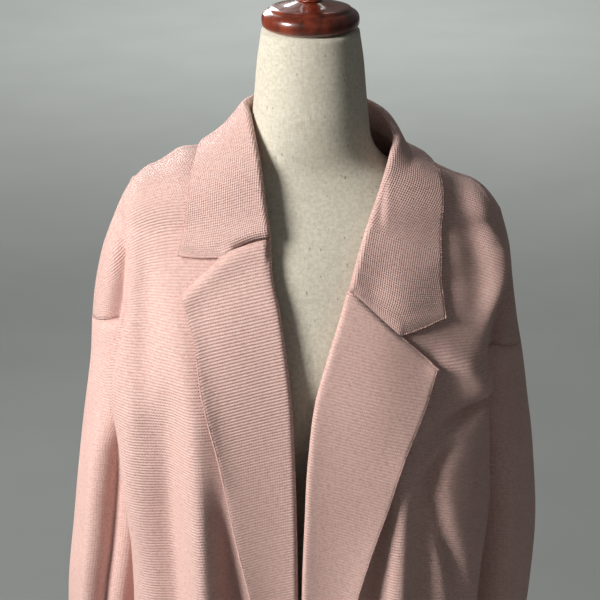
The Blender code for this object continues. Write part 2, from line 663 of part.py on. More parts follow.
def lapelGrid(side, rest, edges):
    """The lapel: one row for each level from the gorge down, turn and top layer."""
    gorge = dict(zip(GORGE_COLUMNS, GORGE[side]))
    sign = SIGN[side]
    out = np.array((-sign, 0.0, 0.0))
    over = np.array((0.0, -1.0, 0.0))
    start = LEVELS.index(gorge["level"])
    rows = []
    for i in range(start, LAST_LEVEL + 1):
        z = LEVELS[i]
        base = edges[i]
        roll = base + out * ROLL_RADIUS + over * ROLL_RADIUS
        turn = turned(base, roll, out, over)
        down = (gorge["level"] - z) / (gorge["level"] - HEM)
        edgeZ = gorge["tipZ"] + (HEM - gorge["tipZ"]) * down
        edgeX = between(LAPEL_COLUMNS, LAPEL[side], edgeZ)["edgeX"]
        topX = abs(turn[-1][0])
        notch = math.exp(-down / NOTCH_REACH)
        straight = np.array((topX + (edgeX - topX) * NOTCH_SHARE,
                             z + (edgeZ - z) * NOTCH_SHARE))
        wanted = np.array((gorge["notchX"], gorge["notchZ"]))
        if i == start:
            first = straight
        middle = straight + (wanted - first) * notch
        flat = through([(topX, z, 0), (*middle, 0), (edgeX, edgeZ, 0)], FALL_SEGMENTS)
        if i == start:
            flat = [np.array((topX, z)), None, None, wanted]
            flat[1:3] = gorgeLine(topX, z, gorge)
            tip = np.array((edgeX, edgeZ))
            flat += [wanted + (tip - wanted) * k / FALL_SEGMENTS[1]
                     for k in range(1, FALL_SEGMENTS[1] + 1)]
        top = []
        for k, place in enumerate(flat[1:], 1):
            share = k / sum(FALL_SEGMENTS)
            lift = REST_LIFT + (2 * ROLL_RADIUS - REST_LIFT) * (1 - share) ** 2
            top.append(rest.inFront(sign * place[0], place[1], lift))
        rows.append(turn + top)
    return rows


def gorgeLine(topX, topZ, gorge):
    """The two points of the gorge seam between the roll line and the notch."""
    line = [(topX, topZ, 0), (gorge["midX"], gorge["midZ"], 0),
            (gorge["notchX"], gorge["notchZ"], 0)]
    return [p[:2] for p in atShares(line, (1 / 3, 2 / 3))]


def collarGrid(neckline, rest, lapels):
    """The collar: one row for each point of the neck seam, gorge to gorge."""
    shares = lengths(neckline)
    stations = [between(COLLAR_COLUMNS, COLLAR, s) for s in shares]
    rolls = [np.array([s["roll" + a] for a in "XYZ"]) for s in stations]
    edges = [rest.clear([s["edge" + a] for a in "XYZ"], REST_LIFT, settle=True)
             for s in stations]
    topColumn = sum(TURN_SEGMENTS)
    ends = {}
    for side, index in (("left", 0), ("right", len(stations) - 1)):
        shared = lapels[side][0][:topColumn + FALL_SEGMENTS[0] + 1]
        notch, tip = shared[-1], edges[index]
        tail = []
        for k in range(1, FALL_SEGMENTS[1] + 1):
            place = notch + (tip - notch) * k / FALL_SEGMENTS[1]
            tail.append(rest.inFront(place[0], place[2], REST_LIFT))
        ends[index] = shared + tail
        rolls[index] = shared[TURN_SEGMENTS[0]]
    rows = []
    swells = [s["swell"] for s in stations]
    for i, (base, roll, edge, swell) in enumerate(zip(neckline, rolls, edges, swells)):
        if i in ends:
            rows.append(ends[i])
            continue
        along = unit(rolls[i + 1] - rolls[i - 1])
        out = roll - edge
        out = unit(out - along * np.dot(out, along))
        over = np.cross(along, out)
        if np.dot(over, roll - np.array((FORM_X, 0.0, roll[2]))) < 0:
            over = -over
        turn = turned(base, roll, out, over)
        top = turn[-1]
        middle = (top + edge) / 2 + over * swell
        fall = through([top, middle, edge], FALL_SEGMENTS, before=top + out * ROLL_RADIUS * 2)
        row = turn
        for k, point in enumerate(fall[1:], 1):
            share = k / sum(FALL_SEGMENTS)
            row.append(rest.clear(point, REST_LIFT + 0.002 * (1 - share)))
        for index, end in ends.items():
            near = math.exp(-abs(shares[i] - shares[index]) / GORGE_REACH)
            middle = (end[topColumn] + edges[index]) / 2
            straight = through([end[topColumn], middle, edges[index]], FALL_SEGMENTS)
            for k in range(1, sum(FALL_SEGMENTS)):
                bend = end[topColumn + k] - straight[k]
                bend[1] = 0.0
                row[topColumn + k] = row[topColumn + k] + bend * near
        rows.append(row)
    return settled(rows, rest, topColumn)


# ------------------------------------------------------- cutting and thickening


def weld(grids):
    """One mesh of all grids, with the pieces' names, and its vertex normals."""
    index, points, faces, owners = {}, [], [], []

    def number(point):
        key = tuple(float(c) for c in point)
        if key not in index:
            index[key] = len(points)
            points.append(Vector(key))
        return index[key]

    for piece, rows in grids:
        table = [[number(p) for p in row] for row in rows]
        for upper, lower in zip(table, table[1:]):
            for j in range(len(upper) - 1):
                face = []
                for corner in (upper[j], lower[j], lower[j + 1], upper[j + 1]):
                    if corner not in face:
                        face.append(corner)
                if len(face) > 2:
                    faces.append(face)
                    owners.append(piece)
    mesh = bmesh.new()
    verts = [mesh.verts.new(p) for p in points]
    made = [mesh.faces.new([verts[k] for k in face]) for face in faces]
    bmesh.ops.recalc_face_normals(mesh, faces=made)
    mesh.normal_update()
    mesh.verts.index_update()
    faces = [[v.index for v in face.verts] for face in made]
    normals = []
    for vert in verts:
        spread = np.mean([abs(vert.normal.dot(face.normal)) for face in vert.link_faces])
        normals.append(np.array(vert.normal) / max(spread, LEAST_SPREAD))
    mesh.free()
    return [np.array(p) for p in points], faces, owners, normals


def seamInward(own, others, points):
    """For each point on a seam, the ways square to the seam into the piece."""
    inward = {}
    for face in own:
        middle = sum(points[k] for k in face) / len(face)
        for a, b in zip(face, face[1:] + face[:1]):
            if frozenset((a, b)) in others:
                along = unit(points[b] - points[a])
                way = middle - points[a]
                way = unit(way - along * np.dot(way, along))
                inward.setdefault(a, []).append(way)
                inward.setdefault(b, []).append(way)
    return inward


def cutPiece(piece, points, faces, owners, normals):
    """One piece of the skin with its wall, set back from its seams."""
    own = [face for face, owner in zip(faces, owners) if owner == piece]
    inward = seamInward(own, {frozenset(edge) for face, owner in zip(faces, owners)
                              if owner != piece for edge in zip(face, face[1:] + face[:1])},
                        points)
    used = sorted({k for face in own for k in face})
    place = {k: i for i, k in enumerate(used)}
    walls = ([], [])
    for k in used:
        point = points[k]
        if k in inward:
            back = sum(inward[k])
            flatNormal = unit(normals[k])
            back = unit(back - flatNormal * np.dot(back, flatNormal))
            spread = np.mean([np.dot(back, way) for way in inward[k]])
            point = point + back * SEAM_GAP * SEAM_SHARE / max(spread, LEAST_SPREAD)
        walls[0].append(point + normals[k] * CLOTH / 2)
        walls[1].append(point - normals[k] * CLOTH / 2)
    count = len(used)
    shell = []
    edges = {}
    for face in own:
        corners = [place[k] for k in face]
        shell.append(corners)
        shell.append([count + c for c in reversed(corners)])
        for a, b in zip(corners, corners[1:] + corners[:1]):
            edges.setdefault((min(a, b), max(a, b)), []).append((a, b))
    for sides in edges.values():
        if len(sides) == 1:
            a, b = sides[0]
            shell.append([b, a, count + a, count + b])
    return walls[0] + walls[1], shell


# -------------------------------------------------------------- form and stand


def formMesh():
    """The limbless torso: level outlines from the neck down to the hip."""
    points, faces = [], []
    for z, half, front, back in FORM:
        for k in range(FORM_AROUND):
            turn = 2 * math.pi * k / FORM_AROUND
            c, s = math.cos(turn), math.sin(turn)
            power = 2 / FORM_SQUARENESS
            x = half * math.copysign(abs(c) ** power, c)
            depth = back if s > 0 else front
            points.append((FORM_X + x, depth * math.copysign(abs(s) ** power, s), z))
    for i in range(len(FORM) - 1):
        for k in range(FORM_AROUND):
            a = i * FORM_AROUND + k
            b = i * FORM_AROUND + (k + 1) % FORM_AROUND
            faces.append((a, a + FORM_AROUND, b + FORM_AROUND, b))
    faces.append(tuple(range(FORM_AROUND)))
    low = (len(FORM) - 1) * FORM_AROUND
    faces.append(tuple(range(low + FORM_AROUND - 1, low - 1, -1)))
    return points, faces


def turnedMesh(profile):
    """A turned piece on the form's axis, from its top edge down its outside."""
    points, faces = [], []
    for radius, z in profile:
        for k in range(WOOD_AROUND):
            turn = 2 * math.pi * k / WOOD_AROUND
            points.append((FORM_X + radius * math.cos(turn), radius * math.sin(turn), z))
    for i in range(len(profile) - 1):
        for k in range(WOOD_AROUND):
            a = i * WOOD_AROUND + k
            b = i * WOOD_AROUND + (k + 1) % WOOD_AROUND
            faces.append((a, a + WOOD_AROUND, b + WOOD_AROUND, b))
    faces.append(tuple(range(WOOD_AROUND)))
    low = (len(profile) - 1) * WOOD_AROUND
    faces.append(tuple(range(low + WOOD_AROUND - 1, low - 1, -1)))
    return points, faces


# ------------------------------------------------------------ materials, objects


def material(name, colour, roughness, sheen=0.0):
    made = bpy.data.materials.new(name)
    made.use_nodes = True
    shader = made.node_tree.nodes["Principled BSDF"]
    shader.inputs["Base Color"].default_value = (*colour, 1.0)
    shader.inputs["Roughness"].default_value = roughness
    shader.inputs["Metallic"].default_value = 0.0
    shader.inputs["Sheen Weight"].default_value = sheen
    return made


def addObject(name, points, faces, finish, smooth=True):
    """One closed solid, its faces turned outwards."""
    mesh = bpy.data.meshes.new(name)
    mesh.from_pydata([tuple(p) for p in points], [], [tuple(f) for f in faces])
    work = bmesh.new()
    work.from_mesh(mesh)
    bmesh.ops.recalc_face_normals(work, faces=work.faces)
    work.to_mesh(mesh)
    work.free()
    if smooth:
        mesh.shade_smooth()
        mesh.set_sharp_from_angle(angle=math.radians(40))
    mesh.materials.append(finish)
    made = bpy.data.objects.new(name, mesh)
    bpy.context.scene.collection.objects.link(made)
    return made


def buildGarment(finish):
    grids, lapels, necklines, edges, sleeves = [], {}, {}, {}, []
    for side in ("left", "right"):
        blocks, neck, halves = bodyBlocks(side)
        grids += blocks
        front, back = blocks[0][1], blocks[2][1]
        sleeves += sleeveBlocks(side, front, back, halves)
        edges[side] = [row[0] for row in front[CAP_ROWS:]]
        gorgeRow = LEVELS.index(GORGE[side][0]) + CAP_ROWS
        necklines[side] = [row[0] for row in front[:gorgeRow + 1]][::-1] + neck[:-1][::-1]
    rest = Rest(grids)
    neckline = necklines["left"] + necklines["right"][::-1][1:]
    for side in ("left", "right"):
        lapels[side] = lapelGrid(side, rest, edges[side])
    collar = collarGrid(neckline, rest, lapels)
    grids += sleeves
    grids += [("front_" + side, lapels[side]) for side in lapels]
    grids.append(("collar", collar))
    skin = weld(grids)
    for piece in ("front_left", "front_right", "back", "collar",
                  "sleeve_left", "sleeve_right"):
        addObject(piece, *cutPiece(piece, *skin), finish)


def build():
    knit = material("pink_knit", (0.62, 0.36, 0.33), 0.9, 0.3)
    linen = material("cream_linen", (0.72, 0.68, 0.56), 0.85)
    wood = material("cherry_wood", (0.22, 0.035, 0.012), 0.22)
    buildGarment(knit)
    addObject("form", *formMesh(), linen)
    for name, profile in (("neck_cap", NECK_CAP), ("cap_knob", CAP_KNOB),
                          ("stand_pole", STAND_POLE), ("stand_base", STAND_BASE)):
        addObject(name, *turnedMesh(profile), wood)


build()
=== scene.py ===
import math

import bmesh
import bpy
import numpy as np
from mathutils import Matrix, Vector
from mathutils.bvhtree import BVHTree


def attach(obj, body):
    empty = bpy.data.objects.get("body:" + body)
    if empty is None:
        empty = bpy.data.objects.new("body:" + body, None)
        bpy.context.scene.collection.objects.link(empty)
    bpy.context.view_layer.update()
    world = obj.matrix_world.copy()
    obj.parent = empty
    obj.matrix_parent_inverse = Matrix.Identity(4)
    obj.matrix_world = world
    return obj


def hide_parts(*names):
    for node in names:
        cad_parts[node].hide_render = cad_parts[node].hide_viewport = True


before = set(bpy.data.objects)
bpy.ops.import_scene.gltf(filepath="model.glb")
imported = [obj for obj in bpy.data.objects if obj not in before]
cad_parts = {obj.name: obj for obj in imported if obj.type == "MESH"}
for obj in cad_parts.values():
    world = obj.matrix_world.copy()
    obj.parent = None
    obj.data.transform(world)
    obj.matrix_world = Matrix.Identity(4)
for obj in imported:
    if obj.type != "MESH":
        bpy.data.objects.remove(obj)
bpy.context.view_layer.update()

# A knitted blazer on a dress form. Metres; the garment's front faces -Y, and left
# and right are the viewer's. The cloth is one skin of sections, cut along its seams.

# what holds for the whole garment
cloth = {
    "wall": 0.0022,          # thickness of the knit
    "seamGap": 0.00016,      # each piece is set back this much from a seam
    "rollRadius": 0.0045,    # half the height of the turn where a lapel folds back
    "restLift": 0.0048,      # from the panel's middle to the middle of what lies on it
    "fine": 5,               # how much finer than the solids the cloth is divided
    "levelStep": 0.007,      # greatest height between two level rows
    "levels": (1.289, 1.260, 1.231, 1.198, 1.165, 1.135, 1.107, 1.078, 1.050, 1.036,
               1.010, 0.970, 0.930, 0.890, 0.850, 0.810, 0.770, 0.730, 0.690, 0.650,
               0.610, 0.570, 0.530),
    "underarm": 1.050,
    "capRows": 4,            # rows from the shoulder seam to the first level
    "outerRoundness": 0.1,   # of the cap at the seam's outer end, 1 is a full round
    "rimInset": 0.42,        # an open edge turns in by this share of the wall
    "rimTaper": 0.86,        # and is this much thinner
    "leastSpread": 0.72,     # limits a wall's corner at a crease
    "leastFacing": 0.6,      # limits a lift on cloth seen aslant
    "farAway": 1.0,          # where rays start, and the depth of a missed one
}
fine = cloth["fine"]
rollRadius = cloth["rollRadius"]
underarm = cloth["underarm"]
formX = 0.0115               # the form and stand are centred on this x
sideSign = {"left": -1.0, "right": 1.0}


def fineLevels(coarse, step):
    # the coarse heights with even ones between, no further apart than a step
    found = [coarse[0]]
    for high, low in zip(coarse, coarse[1:]):
        count = math.ceil((high - low) / step - 1e-6)
        found += [high + (low - high) * k / count for k in range(1, count)] + [low]
    return found


levels = fineLevels(cloth["levels"], cloth["levelStep"])
hemLevel = levels[-1]
capCount = cloth["capRows"] * fine


def levelIndex(z):
    return min(range(len(levels)), key=lambda i: abs(levels[i] - z))


def between(columns, rows, at):
    # a table's columns at one value of its first column, on a smooth curve
    table = np.array(rows, float)
    if table[0, 0] > table[-1, 0]:
        table = table[::-1]
    keys = table[:, 0]
    slopes = np.gradient(table, keys, axis=0)
    i = int(np.clip(np.searchsorted(keys, at) - 1, 0, len(keys) - 2))
    step = keys[i + 1] - keys[i]
    t = min(max((at - keys[i]) / step, 0.0), 1.0)
    h00 = 2 * t ** 3 - 3 * t ** 2 + 1
    h10 = t ** 3 - 2 * t ** 2 + t
    row = (h00 * table[i] + h10 * step * slopes[i]
           + (1 - h00) * table[i + 1] + (t ** 3 - t ** 2) * step * slopes[i + 1])
    return dict(zip(columns, row))


def hermite(start, end, leave, arrive, count):
    # points of a cubic curve, after its start and up to its end
    found = []
    for k in range(1, count + 1):
        t = k / count
        h00 = 2 * t ** 3 - 3 * t ** 2 + 1
        h10 = t ** 3 - 2 * t ** 2 + t
        found.append(h00 * start + h10 * leave
                     + (1 - h00) * end + (t ** 3 - t ** 2) * arrive)
    return found


def through(points, segments, before=None, after=None):
    # a smooth curve through points, with a number of segments for each interval
    points = [np.array(p, float) for p in points]
    first = 2 * points[0] - points[1] if before is None else np.array(before, float)
    last = 2 * points[-1] - points[-2] if after is None else np.array(after, float)
    line = [first] + points + [last]
    steps = [max(np.linalg.norm(b - a), 1e-9) ** 0.5 for a, b in zip(line, line[1:])]
    found = [points[0]]
    for i, count in enumerate(segments):
        p0, p1, p2, p3 = line[i:i + 4]
        d0, d1, d2 = steps[i:i + 3]
        leave = d1 * ((p1 - p0) / d0 - (p2 - p0) / (d0 + d1) + (p2 - p1) / d1)
        arrive = d1 * ((p2 - p1) / d1 - (p3 - p1) / (d1 + d2) + (p3 - p2) / d2)
        found += hermite(p1, p2, leave, arrive, count)
    return found


def unit(vector):
    return vector / max(np.linalg.norm(vector), 1e-12)


def lengths(points):
    gaps = [np.linalg.norm(b - a) for a, b in zip(points, points[1:])]
    way = np.concatenate([[0.0], np.cumsum(gaps)])
    return way / way[-1]


def atShares(points, shares):
    # places along a line, as shares of its length
    points = np.array(points, float)
    way = lengths(list(points))
    return [np.array([np.interp(s, way, points[:, k]) for k in range(3)]) for s in shares]


def finer(counts):
    return tuple(count * fine for count in counts)


frontPanel = {
    "segments": (3, 2, 2, 2),          # opening, chest, flank, fold, armhole line
    "columns": ("z", "openX", "openY", "chestX", "chestY",
                "flankX", "flankY", "foldX", "foldY"),
    "left": (
        (1.289, 0.0325, -0.086, 0.085, -0.080, 0.140, -0.069, 0.188, -0.051),
        (1.250, 0.0310, -0.104, 0.090, -0.100, 0.145, -0.084, 0.1875, -0.065),
        (1.210, 0.0225, -0.120, 0.090, -0.118, 0.150, -0.100, 0.1945, -0.073),
        (1.165, 0.0160, -0.133, 0.090, -0.134, 0.155, -0.115, 0.205, -0.081),
        (1.120, 0.0105, -0.143, 0.090, -0.146, 0.160, -0.126, 0.2146, -0.088),
        (1.050, 0.0068, -0.149, 0.090, -0.152, 0.160, -0.134, 0.205, -0.096),
        (0.970, 0.0045, -0.150, 0.090, -0.153, 0.155, -0.137, 0.1975, -0.100),
        (0.880, 0.0035, -0.148, 0.090, -0.152, 0.150, -0.137, 0.190, -0.100),
        (0.790, 0.0035, -0.145, 0.090, -0.150, 0.150, -0.135, 0.192, -0.096),
        (0.700, 0.0040, -0.142, 0.090, -0.148, 0.155, -0.130, 0.200, -0.085),
        (0.600, 0.0050, -0.140, 0.090, -0.146, 0.160, -0.124, 0.208, -0.072),
        (0.530, 0.0060, -0.140, 0.090, -0.145, 0.160, -0.120, 0.212, -0.066),
    ),
    "right": (
        (1.289, 0.0890, -0.081, 0.118, -0.076, 0.158, -0.064, 0.204, -0.047),
        (1.260, 0.0730, -0.094, 0.112, -0.091, 0.165, -0.076, 0.2270, -0.052),
        (1.231, 0.0529, -0.107, 0.108, -0.104, 0.165, -0.082, 0.2300, -0.0615),
        (1.210, 0.0465, -0.116, 0.105, -0.114, 0.168, -0.090, 0.2265, -0.069),
        (1.165, 0.0320, -0.131, 0.100, -0.131, 0.168, -0.105, 0.2100, -0.080),
        (1.120, 0.0190, -0.141, 0.095, -0.144, 0.170, -0.116, 0.211, -0.085),
        (1.050, 0.0100, -0.149, 0.095, -0.152, 0.170, -0.127, 0.213, -0.090),
        (0.970, 0.0060, -0.150, 0.095, -0.154, 0.168, -0.136, 0.215, -0.093),
        (0.880, 0.0030, -0.148, 0.095, -0.153, 0.165, -0.136, 0.207, -0.096),
        (0.790, 0.0030, -0.145, 0.095, -0.150, 0.160, -0.134, 0.202, -0.094),
        (0.700, 0.0035, -0.142, 0.095, -0.148, 0.160, -0.130, 0.204, -0.084),
        (0.600, 0.0045, -0.140, 0.095, -0.146, 0.165, -0.123, 0.210, -0.072),
        (0.530, 0.0055, -0.140, 0.095, -0.145, 0.165, -0.119, 0.214, -0.066),
    ),
}

backPanel = {
    "segments": (6, 3, 3, 2),          # centre, blade, flank, fold, armhole line
    "columns": ("z", "middleY", "bladeX", "bladeY", "flankX", "flankY", "foldX", "foldY"),
    "middleX": 0.004,
    "shift": {"left": 0.0, "right": 0.009},
    "rows": (
        (1.289, 0.086, 0.108, 0.076, 0.140, 0.067, 0.166, 0.056),
        (1.250, 0.098, 0.102, 0.092, 0.146, 0.081, 0.182, 0.064),
        (1.210, 0.106, 0.096, 0.102, 0.150, 0.091, 0.192, 0.071),
        (1.165, 0.111, 0.090, 0.109, 0.152, 0.098, 0.199, 0.077),
        (1.120, 0.113, 0.090, 0.113, 0.156, 0.102, 0.203, 0.082),
        (1.050, 0.112, 0.090, 0.115, 0.158, 0.105, 0.204, 0.086),
        (0.970, 0.110, 0.090, 0.116, 0.158, 0.107, 0.200, 0.088),
        (0.880, 0.112, 0.090, 0.119, 0.155, 0.110, 0.196, 0.089),
        (0.790, 0.118, 0.090, 0.125, 0.155, 0.114, 0.196, 0.087),
        (0.700, 0.124, 0.090, 0.131, 0.160, 0.117, 0.203, 0.082),
        (0.600, 0.130, 0.090, 0.137, 0.165, 0.118, 0.212, 0.074),
        (0.530, 0.134, 0.090, 0.140, 0.165, 0.119, 0.216, 0.068),
    ),
    "neck": (0.012, 0.070, 1.380),
    "neckBend": {"left": (-0.043, 0.054, 1.377), "right": (0.082, 0.046, 1.370)},
    "neckSegments": (2, 3),
}

sideRun = {                            # below the underarm, behind the sleeve
    "segments": 3,
    "columns": ("z", "tuckX", "tuckY", "seamX"),
    "seamY": 0.002,
    "fade": 0.020,                     # below the underarm the armhole's form fades
    "left": (
        (1.050, 0.170, 0.055, 0.155),
        (1.036, 0.168, 0.056, 0.147),
        (1.000, 0.164, 0.057, 0.145),
        (0.900, 0.168, 0.056, 0.152),
        (0.800, 0.176, 0.053, 0.166),
        (0.735, 0.186, 0.050, 0.178),
        (0.690, 0.196, 0.046, 0.192),
        (0.600, 0.218, 0.038, 0.220),
        (0.530, 0.223, 0.035, 0.227),
    ),
    "right": (
        (1.050, 0.184, 0.056, 0.168),
        (1.036, 0.181, 0.057, 0.160),
        (1.000, 0.178, 0.058, 0.158),
        (0.900, 0.176, 0.056, 0.162),
        (0.800, 0.178, 0.053, 0.171),
        (0.735, 0.184, 0.050, 0.178),
        (0.690, 0.194, 0.046, 0.190),
        (0.600, 0.217, 0.038, 0.219),
        (0.530, 0.222, 0.035, 0.226),
    ),
}

shoulder = {                           # the seam from the neck point outwards
    "left": (
        (0.075, 0.010, 1.371),
        (0.108, 0.006, 1.3605),
        (0.130, 0.002, 1.3590),
        (0.150, 0.000, 1.3475),
        (0.170, 0.000, 1.3375),
        (0.1875, 0.000, 1.3265),
    ),
    "right": (
        (0.109, 0.010, 1.3600),
        (0.128, 0.004, 1.3510),
        (0.152, 0.002, 1.3385),
        (0.180, 0.000, 1.3280),
        (0.194, 0.000, 1.3230),
        (0.2050, 0.000, 1.3165),
    ),
    "armholeShare": 0.80,              # of the seam's length, body up to here
    "finer": 12,
}

sleeve = {
    "segments": 6,
    "columns": ("z", "outX", "inX", "frontY", "backY"),
    "armholeAngle": 118.0,             # from the outermost line round to the armhole
    "armLine": {                       # the same above the underarm, as height and angle
        "left": ((1.289, 72), (1.260, 92), (1.231, 104), (1.198, 110), (1.165, 114),
                 (1.107, 118), (1.050, 118)),
        "right": ((1.289, 50), (1.260, 50), (1.231, 60), (1.210, 70), (1.190, 84),
                  (1.165, 103), (1.135, 114), (1.107, 118), (1.050, 118)),
        "back": ((1.289, 98), (1.250, 104), (1.210, 109), (1.165, 113.5), (1.107, 117),
                 (1.050, 118)),
    },
    "head": {"left": 1.165, "right": 1.135},
    "headRise": 0.014,                 # the seam climbs towards front and back
    "headReach": 0.030,
    "creaseFade": 0.13,                # height over which a crease grows in
    "handover": (0.022, 0.020),        # how far the panels' folds run on round and down
    "lowLevels": (1.036, 1.010, 0.970, 0.920, 0.870, 0.820, 0.775, 0.735),
    "left": (
        (1.289, 0.2070, 0.158, 0.044, 0.046),
        (1.250, 0.2222, 0.155, 0.052, 0.054),
        (1.210, 0.2318, 0.150, 0.058, 0.060),
        (1.165, 0.2378, 0.147, 0.062, 0.064),
        (1.120, 0.2410, 0.148, 0.064, 0.066),
        (1.050, 0.2510, 0.155, 0.065, 0.066),
        (1.036, 0.2530, 0.161, 0.065, 0.066),
        (0.970, 0.2615, 0.166, 0.063, 0.062),
        (0.900, 0.2695, 0.173, 0.060, 0.057),
        (0.820, 0.2785, 0.186, 0.056, 0.052),
        (0.775, 0.2800, 0.192, 0.053, 0.048),
        (0.735, 0.2790, 0.195, 0.050, 0.045),
    ),
    "right": (
        (1.289, 0.2262, 0.170, 0.046, 0.046),
        (1.250, 0.2368, 0.166, 0.054, 0.055),
        (1.210, 0.2420, 0.162, 0.060, 0.061),
        (1.165, 0.2482, 0.160, 0.063, 0.064),
        (1.120, 0.2565, 0.161, 0.065, 0.066),
        (1.050, 0.2668, 0.168, 0.066, 0.066),
        (1.036, 0.2690, 0.174, 0.066, 0.066),
        (0.970, 0.2762, 0.177, 0.063, 0.062),
        (0.920, 0.2800, 0.177, 0.060, 0.058),
        (0.820, 0.2765, 0.183, 0.055, 0.052),
        (0.775, 0.2725, 0.185, 0.052, 0.048),
        (0.735, 0.2685, 0.187, 0.049, 0.045),
    ),
    "creases": {                       # angle round the arm, spread, depth, where it starts
        "left": ((91, 10, -0.015, 1.10), (66, 12, 0.007, 1.09), (113, 10, 0.003, 1.04),
                 (-70, 22, -0.007, 1.08), (-28, 18, 0.004, 1.02)),
        "right": ((40, 20, -0.004, 1.08), (78, 18, 0.005, 1.00), (-55, 20, -0.006, 1.10),
                  (-100, 18, 0.004, 1.00)),
    },
}


def armPoint(side, z, angle):
    # 0 degrees is outermost, + is towards the front
    row = between(sleeve["columns"], sleeve[side], z)
    middle = (row["outX"] + row["inX"]) / 2
    reach = (row["outX"] - row["inX"]) / 2
    turn = math.radians(angle)
    depth = row["frontY"] if angle > 0 else row["backY"]
    near = math.exp(-((z - sleeve["head"][side]) / sleeve["headReach"]) ** 2)
    rise = sleeve["headRise"] * near * math.sin(turn) ** 2
    return np.array((sideSign[side] * (middle + reach * math.cos(turn)),
                     -depth * math.sin(turn), z + rise))


def armholeAngle(side, z, face):
    rows = sleeve["armLine"][side if face > 0 else "back"]
    return between(("z", "angle"), rows, z)["angle"]


def tuckPoint(side, z, face):
    if z >= underarm - 1e-9:
        return armPoint(side, z, face * armholeAngle(side, z, face))
    row = between(sideRun["columns"], sideRun[side], z)
    start = armPoint(side, underarm, face * sleeve["armholeAngle"])
    wanted = np.array((sideSign[side] * row["tuckX"], -face * row["tuckY"], z))
    fresh = math.exp(-(underarm - z) / sideRun["fade"])
    start[2] = z
    return wanted + (start - wanted) * fresh


def hiddenAngles():
    # round the arm's inner side, where it faces the body
    half = sleeve["armholeAngle"]
    angles = np.linspace(half, 360 - half, 2 * sideRun["segments"] * fine + 1)
    return [a if a <= 180 else a - 360 for a in angles]


def sidePoints(side, z, foldFront, foldBack):
    # the cloth behind the sleeve, from the front's fold round to the back's
    if z >= underarm - 1e-9:
        return [armPoint(side, z, a) for a in hiddenAngles()]
    row = between(sideRun["columns"], sideRun[side], z)
    seam = (sideSign[side] * row["seamX"], sideRun["seamY"], z)
    count = sideRun["segments"] * fine
    return through([tuckPoint(side, z, 1), seam, tuckPoint(side, z, -1)],
                   (count, count), foldFront, foldBack)


def frontControls(side, z):
    # the few places that shape a front's section at one height
    row = between(frontPanel["columns"], frontPanel[side], z)
    sign = sideSign[side]
    opening = (sign * (row["openX"] + rollRadius), row["openY"], z)
    return [opening] + [(sign * row[name + "X"], row[name + "Y"], z)
                        for name in ("chest", "flank", "fold")]


def backControls(side, z):
    row = between(backPanel["columns"], backPanel["rows"], z)
    sign = sideSign[side]
    shift = backPanel["shift"][side]
    middle = (backPanel["middleX"], row["middleY"], z)
    return [middle] + [(sign * (row[name + "X"] + shift), row[name + "Y"], z)
                       for name in ("blade", "flank", "fold")]


def frontRow(side, z):
    return through(frontControls(side, z) + [tuckPoint(side, z, 1)],
                   finer(frontPanel["segments"]))


def backRow(side, z):
    return through(backControls(side, z) + [tuckPoint(side, z, -1)],
                   finer(backPanel["segments"]))


def capRows(ridge, level, roundness):
    # rows that round over from the shoulder seam down to the first level
    rows = [list(ridge)]
    for k in range(1, capCount):
        straight = k / capCount
        turn = math.radians(90 * straight)
        row = []
        for top, low, full in zip(ridge, level, roundness):
            across = straight + (math.sin(turn) - straight) * full
            down = straight + (1 - math.cos(turn) - straight) * full
            flat = top[:2] + (low[:2] - top[:2]) * across
            row.append(np.array((flat[0], flat[1], top[2] + (low[2] - top[2]) * down)))
        rows.append(row)
    return rows


def shoulderSeam(side, level):
    # the seam's points for the panel, and for the dropped top of the sleeve
    sign = sideSign[side]
    seam = through([(sign * x, y, z) for x, y, z in shoulder[side]],
                   (shoulder["finer"],) * (len(shoulder[side]) - 1))
    share = shoulder["armholeShare"]
    body = atShares(seam, lengths(level) * share)
    arm = atShares(seam, np.linspace(share, 1.0, sleeve["segments"] * fine + 1))
    arm[0] = body[-1]
    return body, arm


def armRow(side, z, face):
    angles = np.linspace(armholeAngle(side, z, face), 0.0, sleeve["segments"] * fine + 1)
    return [armPoint(side, z, face * a) for a in angles]


def bodyBlocks(side):
    # one half of the body as grids of points: panels, dropped shoulders, sides
    fronts = [frontRow(side, z) for z in levels]
    backs = [backRow(side, z) for z in levels]
    ridge, armRidge = shoulderSeam(side, fronts[0])
    top = np.array(backPanel["neck"])
    neck = through([top, backPanel["neckBend"][side], ridge[0]],
                   finer(backPanel["neckSegments"]),
                   before=top - (sideSign[side] * 0.05, 0.004, 0.0),
                   after=ridge[0] + (0.0, -0.05, -0.01))
    headRow = levelIndex(sleeve["head"][side])
    grids = []
    for face, rows, upper, piece in ((1, fronts, ridge, "front_" + side),
                                     (-1, backs, neck[:-1] + ridge, "back")):
        arms = [armRow(side, z, face) for z in levels[:headRow + 1]]
        for row, arm in zip(rows, arms):
            row[-1] = arm[0]
        outwards = np.linspace(1.0, cloth["outerRoundness"], len(armRidge))
        grids.append((piece, capRows(upper, rows[0], np.ones(len(upper))) + rows))
        grids.append((piece, capRows(armRidge, arms[0], outwards) + arms))
    halves = ([], [])
    count = sideRun["segments"] * fine
    for i in range(levelIndex(underarm), len(levels)):
        z = levels[i]
        row = sidePoints(side, z, frontControls(side, z)[-1], backControls(side, z)[-1])
        row[0] = fronts[i][-1]
        row[-1] = backs[i][-1]
        halves[0].append(row[:count + 1])
        halves[1].append(row[count:])
    grids.append(("front_" + side, halves[0]))
    grids.append(("back", halves[1]))
    return grids, neck, halves


